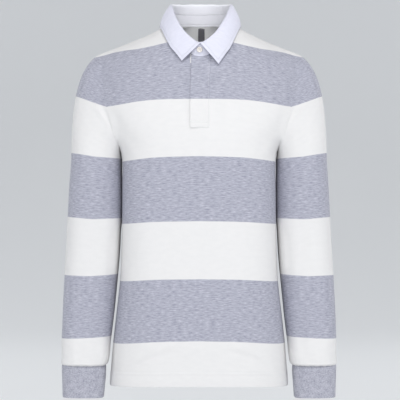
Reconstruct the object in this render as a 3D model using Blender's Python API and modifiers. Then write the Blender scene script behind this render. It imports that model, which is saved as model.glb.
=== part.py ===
"""Long-sleeve polo shirt with wide stripes, filled out as it is worn but with no wearer in it.

Metres, +Z up. The front faces -Y and the wearer's left sleeve is at +X. The origin is on the centre line,
at the height where the shoulder seams meet the neck. Each cloth piece is an open sheet of its real outer
shape, thickened to the inside, and the pieces stand a seam's gap apart.
"""

import math

import bpy
import numpy as np

KNIT_WALL = 0.0016
HEM_WALL = 0.0026
CUFF_WALL = 0.0022
STAND_WALL = 0.0020
LEAF_WALL = 0.0016
LABEL_WALL = 0.0010
SEAM_GAP = 0.0004
LAY_GAP = 0.0004

# Sections of the body, from the front hem up the front, over the shoulder ridge and down to the back hem.
# Each one runs from side to side: its middle, its two ends, half its width, how square it is in plan, and
# the power by which it drops towards its ends. The middles from the neck up are cut away by the neckline.
BODY_COLUMNS = ("z_mid", "y_mid", "z_end", "y_end", "half_width", "squareness", "drop_power")
BODY_SECTIONS = np.array((
    (-0.708, -0.118, -0.7110, 0.002, 0.1775, 2.90, 2.0),
    (-0.664, -0.1175, -0.6685, 0.002, 0.1745, 2.90, 2.0),
    (-0.619, -0.1165, -0.6250, 0.003, 0.1708, 2.95, 2.0),
    (-0.560, -0.114, -0.5660, 0.003, 0.1642, 3.00, 2.0),
    (-0.498, -0.112, -0.5040, 0.004, 0.1575, 3.10, 2.0),
    (-0.385, -0.112, -0.3910, 0.005, 0.1535, 3.20, 2.0),
    (-0.310, -0.1145, -0.3170, 0.005, 0.1528, 3.20, 2.0),
    (-0.258, -0.116, -0.2690, 0.005, 0.1532, 3.20, 2.0),
    (-0.238, -0.1155, -0.2500, 0.005, 0.1560, 3.10, 2.0),
    (-0.197, -0.1125, -0.2120, 0.005, 0.1780, 2.85, 2.0),
    (-0.160, -0.107, -0.1780, 0.005, 0.1930, 2.70, 2.0),
    (-0.125, -0.099, -0.1450, 0.005, 0.1990, 2.60, 1.9),
    (-0.090, -0.086, -0.1160, 0.005, 0.2000, 2.50, 1.7),
    (-0.062, -0.075, -0.1000, 0.005, 0.1990, 2.50, 1.5),
    (-0.044, -0.068, -0.0900, 0.005, 0.1985, 2.50, 1.3),
    (-0.0106, -0.0566, -0.0780, 0.005, 0.1980, 2.50, 1.0),
    (0.043, -0.031, -0.0620, 0.005, 0.1970, 2.50, 0.7),
    (0.085, 0.005, -0.0510, 0.005, 0.1960, 2.50, 0.5),
    (0.070, 0.023, -0.0560, 0.005, 0.1970, 2.50, 0.6),
    (0.046, 0.045, -0.0690, 0.005, 0.1980, 2.50, 0.8),
    (0.020, 0.062, -0.0840, 0.005, 0.1985, 2.50, 1.1),
    (0.008, 0.068, -0.0940, 0.005, 0.1990, 2.50, 1.4),
    (-0.030, 0.083, -0.1120, 0.005, 0.2000, 2.50, 1.7),
    (-0.080, 0.096, -0.1400, 0.005, 0.1995, 2.50, 1.9),
    (-0.135, 0.105, -0.1760, 0.005, 0.1935, 2.70, 2.0),
    (-0.190, 0.109, -0.2120, 0.005, 0.1780, 2.85, 2.0),
    (-0.238, 0.109, -0.2500, 0.005, 0.1560, 3.10, 2.0),
    (-0.258, 0.108, -0.2690, 0.005, 0.1532, 3.20, 2.0),
    (-0.310, 0.106, -0.3170, 0.005, 0.1528, 3.20, 2.0),
    (-0.385, 0.102, -0.3910, 0.005, 0.1535, 3.20, 2.0),
    (-0.498, 0.099, -0.5040, 0.004, 0.1575, 3.10, 2.0),
    (-0.560, 0.100, -0.5660, 0.003, 0.1642, 3.00, 2.0),
    (-0.619, 0.102, -0.6250, 0.003, 0.1708, 2.95, 2.0),
    (-0.664, 0.104, -0.6685, 0.002, 0.1745, 2.90, 2.0),
    (-0.708, 0.105, -0.7110, 0.002, 0.1775, 2.90, 2.0),
))
FRONT_ARMPIT = 8
FRONT_NECK = 13
RIDGE = 17
BACK_NECK = 21
BACK_ARMPIT = 26
GAUGE = 0.6  # share of the half width at which the sections' distances apart are measured

# The armhole seam, seen from the front: height, distance from the centre line.
ARMHOLE = np.array((
    (-0.2500, 0.1560),
    (-0.2370, 0.1582),
    (-0.2265, 0.1606),
    (-0.2000, 0.1690),
    (-0.1600, 0.1795),
    (-0.1295, 0.1870),
    (-0.0930, 0.1910),
    (-0.0500, 0.1920),
))

# The neckline in plan, how far the whole collar sits to the wearer's left, and how far its top leans there.
NECK_HALF_WIDTH = 0.068
NECK_HALF_DEPTH = 0.0715
NECK_CENTRE_Y = -0.0035
NECK_SHIFT = 0.0025
SHIFT_LOW = -0.150
SHIFT_HEIGHT = 0.090
SHIFT_FAR = 0.150
SHIFT_WIDTH = 0.060
LEAN = 0.002
LEAN_HEIGHT = 0.050

HEM_DEPTH = 0.030
HEM_STEP = 0.002
PLACKET_BOTTOM = -0.202
WINDOW_HALF = 0.0140
BACK_STRIP_HALF = 0.0100
FLAP_HALF = 0.0176
FLAP_CORNER = 0.003
UNDERLAP_HALF = 0.0160
UNDERLAP_EXTRA = 0.005
TOP_TRIM = 0.0007
ROW_MARGIN = 0.004

# Sleeve sections, from the armpit down. Columns: z, centre_x, half_x, centre_y, half_y.
SLEEVE_SECTIONS = np.array((
    (-0.264, 0.2062, 0.0498, 0.006, 0.0620),
    (-0.324, 0.2076, 0.0519, 0.007, 0.0615),
    (-0.384, 0.2094, 0.0535, 0.007, 0.0600),
    (-0.450, 0.2126, 0.0539, 0.006, 0.0580),
    (-0.508, 0.2165, 0.0533, 0.001, 0.0545),
    (-0.560, 0.2200, 0.0518, -0.007, 0.0500),
    (-0.592, 0.2220, 0.0503, -0.013, 0.0465),
    (-0.630, 0.2245, 0.0482, -0.021, 0.0420),
    (-0.655, 0.2258, 0.0464, -0.026, 0.0380),
    (-0.666, 0.2270, 0.0452, -0.028, 0.0345),
    (-0.672, 0.2283, 0.0438, -0.029, 0.0295),
))
SLEEVE_SQUARENESS = 2.2
CAP_TILT_TOP = math.radians(20)
CAP_TILT_PIT = math.radians(85)
CAP_FULLNESS = 0.9

# Cuff sections, with the sleeve's columns.
CUFF_SECTIONS = np.array((
    (-0.6724, 0.2284, 0.0432, -0.029, 0.0288),
    (-0.6850, 0.2284, 0.0434, -0.030, 0.0290),
    (-0.7120, 0.2290, 0.0422, -0.032, 0.0282),
    (-0.7345, 0.2296, 0.0412, -0.034, 0.0272),
))

# The collar round the neckline, by the angle from the centre front: how far the stand's top and the fold
# lie above the neckline, and how far outside it. Columns: angle, stand_rise, stand_lean, fold_rise, fold_lean.
COLLAR = np.array((
    (0, 0.0235, 0.0025, 0.0265, 0.0030),
    (17, 0.0250, 0.0010, 0.0340, 0.0010),
    (42, 0.0250, -0.0010, 0.0370, -0.0020),
    (67, 0.0250, -0.0040, 0.0420, -0.0080),
    (90, 0.0240, -0.0050, 0.0425, -0.0110),
    (135, 0.0230, -0.0035, 0.0435, -0.0075),
    (180, 0.0225, -0.0020, 0.0460, -0.0040),
))
FOLD_RADIUS = 0.0036
FOLD_TURNS = (45, 90, 140)
FOLD_LEAST_RISE = 0.0004
STAND_END_LEFT = -15.0
STAND_END_RIGHT = 374.0
STAND_GAP = 0.0009
LAP_OFFSET = 0.00125
LAP_REACH = 40.0
LAP_BLEND = 26.0
STAND_END_DROP = 0.35  # share of its height that the stand loses towards each end
LEAF_START = 1.0
LEAF_GAP = 0.0008

# The leaf's outer edge, from the point of the collar at share 0 to the centre back at share 0.5. The foot
# is the place on the body under the edge: its distance from the centre line, and the middle of its section.
# Columns: share, foot_x, foot_y_mid, lift off the body, bulge of the leaf above the edge.
LEAF_EDGE = np.array((
    (0.00, 0.0360, -0.0785, 0.0030, 0.0010),
    (0.06, 0.0490, -0.0700, 0.0030, 0.0015),
    (0.12, 0.0620, -0.0600, 0.0030, 0.0020),
    (0.18, 0.0720, -0.0400, 0.0032, 0.0028),
    (0.25, 0.0785, -0.0050, 0.0040, 0.0035),
    (0.33, 0.0760, 0.0300, 0.0030, 0.0030),
    (0.40, 0.0590, 0.0555, 0.0022, 0.0022),
    (0.435, 0.0435, 0.0678, 0.0020, 0.0018),
    (0.467, 0.0225, 0.0724, 0.0018, 0.0013),
    (0.50, 0.0000, 0.0737, 0.0015, 0.0010),
))
LEFT_POINT_DROP = 0.0055
LEFT_POINT_SHARE = 0.15

BUTTON_RADIUS = 0.0055
BUTTON_THICKNESS = 0.0022
BUTTON_HEIGHT = 0.0130
BUTTON_ANGLE = -1.0
BUTTON_RIM = 0.0015
BUTTON_EDGE = 0.0005
BUTTON_SIDES = 24

LABEL_HALF_WIDTH = 0.0065
LABEL_LENGTH = 0.028
LABEL_CENTRE_X = 0.0023
LABEL_TOP_GAP = 0.001
LABEL_LAY_GAP = 0.0008
LABEL_ROWS = 4

COLOURS = {
    "jersey": ((0.80, 0.81, 0.83, 1.0), 0.88),
    "rib": ((0.46, 0.46, 0.55, 1.0), 0.90),
    "twill": ((0.80, 0.82, 0.88, 1.0), 0.80),
    "button": ((0.80, 0.74, 0.66, 1.0), 0.35),
    "label": ((0.06, 0.055, 0.07, 1.0), 0.60),
}


def smooth_curve(knots, values, at):
    """Cubic curve through the values, with each knot's slope taken from its neighbours."""
    knots = np.asarray(knots, float)
    values = np.asarray(values, float)
    slopes = np.gradient(values, knots, axis=0)
    at = np.clip(np.asarray(at, float), knots[0], knots[-1])
    i = np.clip(np.searchsorted(knots, at, side="right") - 1, 0, len(knots) - 2)
    step = knots[i + 1] - knots[i]
    t = (at - knots[i]) / step
    if values.ndim > 1:
        t = t[..., None]
        step = step[..., None]
    start = (2 * t**3 - 3 * t**2 + 1) * values[i] + (t**3 - 2 * t**2 + t) * step * slopes[i]
    end = (3 * t**2 - 2 * t**3) * values[i + 1] + (t**3 - t**2) * step * slopes[i + 1]
    return start + end


def unit(vectors):
    return vectors / np.linalg.norm(vectors, axis=-1, keepdims=True)


def section_point(section, x):
    """Points of body sections at distances x from the centre line."""
    z_mid, y_mid, z_end, y_end, half, square, power = np.moveaxis(section, -1, 0)
    share = np.clip(np.abs(x) / half, 0.0, 1.0)
    y = y_end + (y_mid - y_end) * (1 - share**square) ** (1 / square)
    z = z_end + (z_mid - z_end) * (1 - share**power)
    return np.stack(np.broadcast_arrays(x, y, z), axis=-1)


def section_stations():
    """A running length for each section, measured at one share of the width."""
    points = section_point(BODY_SECTIONS, GAUGE * BODY_SECTIONS[:, 4])
    steps = np.linalg.norm(np.diff(points, axis=0), axis=1)
    return np.concatenate(([0.0], np.cumsum(steps)))


STATIONS = section_stations()


def body_section(v):
    return smooth_curve(STATIONS, BODY_SECTIONS, v)


def body_point(x, v):
    """The outer surface of the body at distance x from the centre line and station v."""
    v = np.asarray(v, float)
    return section_point(body_section(v), np.asarray(x, float))


def body_normal(x, v):
    step = 0.0005
    along_x = body_point(x + step, v) - body_point(x - step, v)
    along_v = body_point(x, v + step) - body_point(x, v - step)
    return unit(np.cross(along_x, along_v))


def station_where(column, value, first, last):
    """The station between two sections where a column, which rises or falls steadily there, has a value."""
    v = np.linspace(STATIONS[first], STATIONS[last], FINE_STEPS)
    found = body_section(v)[:, BODY_COLUMNS.index(column)]
    order = np.argsort(found)
    return np.interp(value, found[order], v[order])


def armhole_x(v):
    """Distance of the armhole seam from the centre line, on the sections at stations v."""
    section = body_section(v)
    x = section[:, 4]
    for _ in range(6):
        height = section_point(section, x)[:, 2]
        x = np.minimum(np.interp(height, ARMHOLE[:, 0], ARMHOLE[:, 1]), section[:, 4])
    return x


def neck_station(angle):
    """Station of the neckline at an angle in degrees from the centre front."""
    y_mid = NECK_CENTRE_Y - NECK_HALF_DEPTH * np.cos(np.radians(angle))
    return station_where("y_mid", y_mid, FRONT_NECK - 1, BACK_NECK + 1)


def neck_x(angle):
    return NECK_HALF_WIDTH * np.sin(np.radians(angle))


def even_stations(first, last, count):
    """Stations between two sections that split the armhole seam there into equal lengths."""
    v = np.linspace(STATIONS[first], STATIONS[last], FINE_STEPS)
    seam = body_point(armhole_x(v), v)
    length = np.concatenate(([0.0], np.cumsum(np.linalg.norm(np.diff(seam, axis=0), axis=1))))
    return np.interp(np.linspace(0.0, length[-1], count + 1), length, v)


FINE_STEPS = 600
LOWER_ROWS = 8
CHEST_ROWS = 9
NECK_ROWS = 7
PANEL_COLUMNS = 10
CAP_ROWS = 6
ARM_ROWS = 9
STAND_ROWS = 2
LEAF_FALL_ROWS = 4
PLACKET_COLUMNS = 6
SEAM_STEP = 0.012
SEAM_ROW_ANGLE = 1.2
RIDGE_ANGLE = math.degrees(math.acos((NECK_CENTRE_Y - BODY_SECTIONS[RIDGE, 1]) / NECK_HALF_DEPTH))


def neck_row_angles(front):
    """Angles round the neck at which the panel's upper rows start, with a narrow row along the shoulder."""
    angles = np.linspace(0.0 if front else 180.0, RIDGE_ANGLE, NECK_ROWS + 1)
    beside = RIDGE_ANGLE + math.copysign(SEAM_ROW_ANGLE, angles[0] - RIDGE_ANGLE)
    return np.insert(angles, -1, beside)


def hem_stations(front):
    """Stations of the hem's edge and of the two sides of its inner edge."""
    z = BODY_SECTIONS[0, 0] + np.array((0.0, HEM_DEPTH, HEM_DEPTH + HEM_STEP))
    ends = (0, 3) if front else (len(STATIONS) - 4, len(STATIONS) - 1)
    return station_where("z_mid", z, *ends)


def panel_stations(front):
    """Stations of a body panel's rows from its hem to the shoulder seam, and which begins the armhole."""
    neck, pit = (FRONT_NECK, FRONT_ARMPIT) if front else (BACK_NECK, BACK_ARMPIT)
    hem = hem_stations(front)
    lower = np.linspace(hem[-1], STATIONS[pit], LOWER_ROWS)
    chest = even_stations(*sorted((pit, neck)), CHEST_ROWS)
    chest = chest if front else chest[::-1]
    v = np.concatenate((hem[:-1], lower, chest[1:-1], neck_station(neck_row_angles(front))))
    if front:
        bottom = placket_bottom()
        v[np.argmin(np.abs(v - bottom))] = bottom
    return v, len(hem) - 1 + len(lower) - 1


def placket_bottom():
    return station_where("z_mid", PLACKET_BOTTOM, FRONT_ARMPIT, FRONT_NECK)


def settle(points):
    """The collar and the top of the body sit a little to the wearer's left."""
    points = np.array(points, float)
    high = np.clip((points[..., 2] - SHIFT_LOW) / SHIFT_HEIGHT, 0, 1)
    near = np.clip((SHIFT_FAR - np.abs(points[..., 0])) / SHIFT_WIDTH, 0, 1)
    shift = NECK_SHIFT * high**2 * (3 - 2 * high) + LEAN * np.clip(points[..., 2] / LEAN_HEIGHT, 0, 1)
    points[..., 0] += shift * near**2 * (3 - 2 * near)
    return points


def material_of(name):
    material = bpy.data.materials.get(name)
    if material:
        return material
    material = bpy.data.materials.new(name)
    material.use_nodes = True
    shader = material.node_tree.nodes["Principled BSDF"]
    colour, roughness = COLOURS[name]
    shader.inputs["Base Color"].default_value = colour
    shader.inputs["Roughness"].default_value = roughness
    shader.inputs["Metallic"].default_value = 0.0
    material.diffuse_color = colour
    return material


def new_object(name, mesh, material):
    mesh.materials.append(material_of(material))
    made = bpy.data.objects.new(name, mesh)
    collection.objects.link(made)
    mesh.shade_smooth()
    return made


def sheet(name, grid, material, wall, offset=-1.0, ring=False, flip=False, open_quads=(), heavy=None):
    """A cloth piece from a grid of points. Its normal is its columns' direction crossed with its rows'."""
    rows, columns = grid.shape[:2]
    points = settle(grid.reshape(-1, 3))
    faces = []
    for i in range(rows - 1):
        for j in range(columns if ring else columns - 1):
            if (i, j) in open_quads:
                continue
            k = (j + 1) % columns
            face = (i * columns + j, i * columns + k, (i + 1) * columns + k, (i + 1) * columns + j)
            faces.append(face[::-1] if flip else face)
    mesh = bpy.data.meshes.new(name)
    mesh.from_pydata(points.tolist(), [], faces)
    made = new_object(name, mesh, material)
    solid = made.modifiers.new("wall", "SOLIDIFY")
    solid.thickness = wall
    solid.offset = offset
    solid.use_even_offset = True
    if heavy is not None:
        group = made.vertex_groups.new(name="thickness")
        for i in range(rows):
            group.add([i * columns + j for j in range(columns)], float(heavy[i]), "REPLACE")
        solid.vertex_group = group.name
    return made


def half_row(v, inner, outer):
    """Points of one row from its inner to its outer edge, spread evenly, with a narrow step at the seam."""
    half, square = body_section(v)[4:6]
    first = math.asin(min(inner / half, 1.0) ** (square / 2))
    last = math.asin(min(outer / half, 1.0) ** (square / 2))
    turns = np.linspace(first, last, PANEL_COLUMNS)
    turns = np.insert(turns, -1, last - SEAM_STEP * (last - first))
    x = half * np.sin(turns) ** (2 / square)
    return body_point(x, np.full(len(x), v))


def panel_shift(front):
    """Half a seam's gap, by which the front and the back stand apart."""
    return np.array((0.0, -SEAM_GAP / 2 if front else SEAM_GAP / 2, 0.0))


def body_panel(name, front):
    """The front, cut open down the middle under its placket, or the back. Its rows run from side to side."""
    v, pit_row = panel_stations(front)
    outer = armhole_x(v)
    outer[: pit_row + 1] = body_section(v[: pit_row + 1])[:, 4]
    strip = WINDOW_HALF if front else BACK_STRIP_HALF
    angles = neck_row_angles(front)
    inner = np.full(len(v), strip)
    inner[-len(angles) :] = np.maximum(neck_x(angles), strip)
    top_of_strip = np.argmin(np.abs(v - placket_bottom())) if front else len(v) - len(angles)
    open_quads = {(i, PANEL_COLUMNS) for i in range(top_of_strip, len(v))}
    lines = []
    for station, from_x, to_x in zip(v, inner, outer):
        right = half_row(station, from_x, to_x)
        lines.append(np.concatenate((right[::-1] * (-1, 1, 1), right)))
    grid = np.array(lines) + panel_shift(front)
    heavy = np.where(np.arange(len(v)) < 2, 1.0, KNIT_WALL / HEM_WALL)
    return sheet(name, grid, "jersey", HEM_WALL, flip=not front, open_quads=open_quads, heavy=heavy)


def armhole_edge(front):
    """Points of the +X armhole seam on one panel, from the armpit to the shoulder."""
    v, pit_row = panel_stations(front)
    v = v[pit_row:]
    return body_point(armhole_x(v), v)


def running_share(points):
    length = np.concatenate(([0.0], np.cumsum(np.linalg.norm(np.diff(points, axis=0), axis=1))))
    return length / length[-1]


def sleeve_ring():
    """The armhole seam as a ring from the shoulder, down its front, and its angle round the arm at each point."""
    front = armhole_edge(True)[::-1]
    back = armhole_edge(False)
    ring = np.concatenate((front[:-1], back[:-1]))
    angle = np.concatenate((np.pi * running_share(front)[:-1], np.pi + np.pi * running_share(back)[:-1]))
    return ring, angle


def oval(section, angle):
    """A level ring round the arm: outermost at angle 0, front at a quarter turn."""
    z, centre_x, half_x, centre_y, half_y = section
    power = 2 / SLEEVE_SQUARENESS
    x = centre_x + half_x * np.sign(np.cos(angle)) * np.abs(np.cos(angle)) ** power
    y = centre_y - half_y * np.sign(np.sin(angle)) * np.abs(np.sin(angle)) ** power
    return np.stack((x, y, np.full_like(x, z)), axis=-1)


def sleeve_grid():
    ring, angle = sleeve_ring()
    ring = ring + (SEAM_GAP, 0, 0)
    upper_arm = oval(SLEEVE_SECTIONS[0], angle)
    reach = CAP_FULLNESS * np.linalg.norm(upper_arm - ring, axis=1, keepdims=True)
    tilt = CAP_TILT_TOP + (CAP_TILT_PIT - CAP_TILT_TOP) * (1 - np.cos(angle)) / 2
    leave = reach * np.stack((np.cos(tilt), np.zeros_like(tilt), -np.sin(tilt)), axis=-1)
    arrive = reach * np.array((0.0, 0.0, -1.0))
    rows = []
    for t in np.linspace(0, 1, CAP_ROWS + 1):
        start = (2 * t**3 - 3 * t**2 + 1) * ring + (t**3 - 2 * t**2 + t) * leave
        end = (3 * t**2 - 2 * t**3) * upper_arm + (t**3 - t**2) * arrive
        rows.append(start + end)
    top, bottom = SLEEVE_SECTIONS[0, 0], SLEEVE_SECTIONS[-3, 0]
    heights = np.concatenate((np.linspace(top, bottom, ARM_ROWS + 1)[1:], SLEEVE_SECTIONS[-2:, 0]))
    for section in smooth_curve(-SLEEVE_SECTIONS[:, 0], SLEEVE_SECTIONS, -heights):
        rows.append(oval(section, angle))
    return np.array(rows), angle


def arm_pieces(side, name_end):
    """One sleeve and its cuff. The ring of points is the same down the arm, so that the pieces meet."""
    mirror = np.array((side, 1, 1))
    grid, angle = sleeve_grid()
    sheet("sleeve_" + name_end, grid * mirror, "jersey", KNIT_WALL, ring=True, flip=side < 0)
    cuff = np.array([oval(section, angle) for section in CUFF_SECTIONS])
    sheet("cuff_" + name_end, cuff * mirror, "rib", CUFF_WALL, ring=True, flip=side < 0)


def placket_grid(half_width, below, offset, corner):
    """A strip on or under the front's middle, from below the opening's foot up to the neckline.

    It has the panel's own rows, so that it follows the panel's facets.
    """
    lines = []
    foot = placket_bottom() - below
    rows = panel_stations(True)[0]
    rows = rows[(rows > foot + ROW_MARGIN) & (rows < STATIONS[FRONT_NECK] - ROW_MARGIN)]
    for x in np.linspace(-half_width, half_width, PLACKET_COLUMNS + 1):
        top = neck_station(np.degrees(np.arcsin(abs(x) / NECK_HALF_WIDTH))) - TOP_TRIM
        start = foot + (corner if np.isclose(abs(x), half_width) else 0.0)
        v = np.concatenate(((start,), rows, (top,)))
        across = np.full(len(v), x)
        lines.append(body_point(across, v) + offset * body_normal(across, v))
    return np.array(lines).transpose(1, 0, 2) + panel_shift(True)


def folded_angle(angle):
    return np.abs((np.asarray(angle, float) + 180.0) % 360.0 - 180.0)


def neck_frame(angle):
    """Points of the neckline at angles from the centre front, and the level directions out of it."""
    v = neck_station(folded_angle(angle))
    points = body_point(neck_x(angle), v)
    turn = np.radians(angle)
    out = np.stack((np.sin(turn) / NECK_HALF_WIDTH, -np.cos(turn) / NECK_HALF_DEPTH, 0 * turn), axis=-1)
    return points, unit(out)


def lap(angle):
    """The stand's two ends pass each other at the centre front, the wearer's left one outside."""
    def near(distance):
        t = np.clip((LAP_REACH - distance) / LAP_BLEND, 0, 1)
        return t**2 * (3 - 2 * t)
    return LAP_OFFSET * (near(angle) - near(360.0 - angle))


def collar_angles():
    """Angles round the neck at which the panels' rows end, so that the collar follows the same facets."""
    front = np.delete(neck_row_angles(True), -2)
    back = np.sort(np.delete(neck_row_angles(False), -2))
    half = np.concatenate((front, back[1:]))
    return np.concatenate((half, 360 - half[-2::-1]))


def stand_grid():
    before = (STAND_END_LEFT, STAND_END_LEFT / 2)
    after = ((STAND_END_RIGHT + 360) / 2, STAND_END_RIGHT)
    angle = np.concatenate((before, collar_angles(), after))
    base, out = neck_frame(angle)
    rise, lean = smooth_curve(COLLAR[:, 0], COLLAR[:, 1:3], folded_angle(angle)).T
    past = np.clip(np.maximum(-angle / -STAND_END_LEFT, (angle - 360) / (STAND_END_RIGHT - 360)), 0, 1)
    rise = rise * (1 - STAND_END_DROP * past**2)
    rows = []
    for t in np.linspace(0, 1, STAND_ROWS + 1):
        height = STAND_GAP + (rise - STAND_GAP) * t
        away = lean * t + lap(angle)
        rows.append(base + out * away[:, None] + np.outer(height, (0, 0, 1)))
    return np.array(rows)


def leaf_grid():
    """The leaf from the stand's top up over its fold and down to its outer edge, on its outer face."""
    angle = np.clip(collar_angles(), LEAF_START, 360 - LEAF_START)
    share = (angle - LEAF_START) / (360 - 2 * LEAF_START)
    base, out = neck_frame(angle)
    up = np.array((0, 0, 1.0))
    stand_rise, stand_lean, fold_rise, fold_lean = smooth_curve(
        COLLAR[:, 0], COLLAR[:, 1:], folded_angle(angle)
    ).T
    inner = -LEAF_WALL / 2 + lap(angle)
    rows = []
    for t in (0.0, 0.5, 1.0):
        height = (1 - t) * (stand_rise + LEAF_GAP) + t * (fold_rise - FOLD_RADIUS)
        height = np.maximum(height, stand_rise + LEAF_GAP + FOLD_LEAST_RISE * t)
        away = (1 - t) * stand_lean + t * fold_lean + inner
        rows.append(base + out * away[:, None] + np.outer(height, up))
    centre = rows[-1] + FOLD_RADIUS * out
    for turn in np.radians(FOLD_TURNS):
        rows.append(centre + FOLD_RADIUS * (np.sin(turn) * up - np.cos(turn) * out))
    half_share = np.minimum(share, 1 - share)
    foot_x, foot_y, lift, bulge = smooth_curve(LEAF_EDGE[:, 0], LEAF_EDGE[:, 1:], half_share).T
    left = np.where(share < 0.5, 1.0, 0.0)
    v = station_where("y_mid", foot_y, FRONT_NECK - 1, BACK_NECK + 1)
    v = v - LEFT_POINT_DROP * left * np.clip(1 - half_share / LEFT_POINT_SHARE, 0, 1)
    foot_x = foot_x * np.where(share < 0.5, 1.0, -1.0)
    edge = body_point(foot_x, v) + body_normal(foot_x, v) * (lift + LEAF_WALL)[:, None]
    start = rows[-1]
    for t in np.linspace(0, 1, LEAF_FALL_ROWS + 1)[1:]:
        rows.append((1 - t) * start + t * edge + 4 * t * (1 - t) * bulge[:, None] * out)
    return np.array(rows)


def label_grid():
    """The label hangs inside the back from its neck edge and bends where the panel's facets do."""
    x = np.array((-LABEL_HALF_WIDTH, 0, LABEL_HALF_WIDTH)) + LABEL_CENTRE_X
    rows = np.sort(panel_stations(False)[0])
    rows = rows[rows > STATIONS[BACK_NECK] - SEAM_GAP][:LABEL_ROWS]
    lines = []
    for across in x:
        panel = body_point(np.full(len(rows), across), rows)
        length = np.concatenate(([0.0], np.cumsum(np.linalg.norm(np.diff(panel, axis=0), axis=1))))
        bends = length[(length > LABEL_TOP_GAP) & (length < LABEL_LENGTH)]
        at = np.concatenate(((LABEL_TOP_GAP,), bends, (LABEL_TOP_GAP + LABEL_LENGTH,)))
        line = np.stack([np.interp(at, length, panel[:, i]) for i in range(3)], axis=1)
        down = unit(np.gradient(line, axis=0))
        lines.append(line - (KNIT_WALL + LABEL_LAY_GAP) * unit(np.cross((1.0, 0, 0), down)))
    return np.array(lines).transpose(1, 0, 2) + panel_shift(False)


def collar_button():
    """A turned button with a raised rim, standing on the outer end of the stand."""
    inside = BUTTON_RADIUS - BUTTON_RIM
    profile = (
        (0.0, BUTTON_THICKNESS - BUTTON_EDGE),
        (inside - BUTTON_EDGE, BUTTON_THICKNESS - BUTTON_EDGE),
        (inside, BUTTON_THICKNESS),
        (BUTTON_RADIUS - BUTTON_EDGE, BUTTON_THICKNESS),
        (BUTTON_RADIUS, BUTTON_THICKNESS - BUTTON_EDGE),
        (BUTTON_RADIUS, BUTTON_EDGE),
        (BUTTON_RADIUS - BUTTON_EDGE, 0.0),
        (0.0, 0.0),
    )
    mesh = bpy.data.meshes.new("collar_button")
    edges = [(i, i + 1) for i in range(len(profile) - 1)]
    mesh.from_pydata([(r, 0, z) for r, z in profile], edges, [])
    made = new_object("collar_button", mesh, "button")
    screw = made.modifiers.new("turned", "SCREW")
    screw.steps = screw.render_steps = BUTTON_SIDES
    screw.use_merge_vertices = True
    screw.merge_threshold = 1e-5
    angle = np.array((BUTTON_ANGLE,))
    base, out = neck_frame(angle)
    away = COLLAR[0, 2] * BUTTON_HEIGHT / COLLAR[0, 1] + LAP_OFFSET + STAND_WALL / 2 + LAY_GAP
    place = base[0] + out[0] * away + (0, 0, BUTTON_HEIGHT)
    made.location = settle(place)
    made.rotation_euler = (math.radians(90) + math.atan(COLLAR[0, 2] / COLLAR[0, 1]), 0, 0)
    return made


for old in list(bpy.data.objects):
    bpy.data.objects.remove(old, do_unlink=True)
collection = bpy.data.collections.new("long_sleeve_polo_shirt")
bpy.context.scene.collection.children.link(collection)

body_panel("front", True)
body_panel("back", False)
arm_pieces(1, "left")
arm_pieces(-1, "right")
flap = placket_grid(FLAP_HALF, 0.0, LAY_GAP + KNIT_WALL, FLAP_CORNER)
sheet("placket_flap", flap, "jersey", KNIT_WALL)
underlap = placket_grid(UNDERLAP_HALF, UNDERLAP_EXTRA, -KNIT_WALL - LAY_GAP, 0.0)
sheet("placket_underlap", underlap, "jersey", KNIT_WALL)
sheet("collar_stand", stand_grid(), "twill", STAND_WALL, offset=0.0)
sheet("collar_leaf", leaf_grid(), "twill", LEAF_WALL, flip=True)
sheet("neck_label", label_grid(), "label", LABEL_WALL)
collar_button()
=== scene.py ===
"""Looks of the long-sleeve polo shirt: a thin shell in place of each solid cloth piece, with the stripes,
the knit, seams, stitches and soft creases, over a pale floor in soft light.

Metres, +Z up. The front faces -Y and the wearer's left sleeve is at +X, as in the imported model.
"""

import math

import bpy
import numpy as np
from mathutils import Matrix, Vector
from mathutils.bvhtree import BVHTree


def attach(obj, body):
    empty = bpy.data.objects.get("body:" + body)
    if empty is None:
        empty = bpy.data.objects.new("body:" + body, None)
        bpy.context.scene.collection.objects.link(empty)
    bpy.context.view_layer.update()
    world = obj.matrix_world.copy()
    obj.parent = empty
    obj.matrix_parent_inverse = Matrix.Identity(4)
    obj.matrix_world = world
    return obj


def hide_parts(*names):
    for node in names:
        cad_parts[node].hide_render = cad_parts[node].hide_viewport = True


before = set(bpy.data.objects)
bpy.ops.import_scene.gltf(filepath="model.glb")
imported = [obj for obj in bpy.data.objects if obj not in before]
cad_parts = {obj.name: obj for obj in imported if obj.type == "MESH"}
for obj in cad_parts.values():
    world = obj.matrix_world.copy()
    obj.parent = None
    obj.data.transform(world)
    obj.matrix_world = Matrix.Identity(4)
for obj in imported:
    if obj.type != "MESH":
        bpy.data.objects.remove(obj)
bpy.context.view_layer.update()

JERSEY_WALL = 0.0011
HEM_WALL = 0.0022
CUFF_WALL = 0.0018
STAND_WALL = 0.0018
LEAF_WALL = 0.0014
LABEL_WALL = 0.0006

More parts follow.
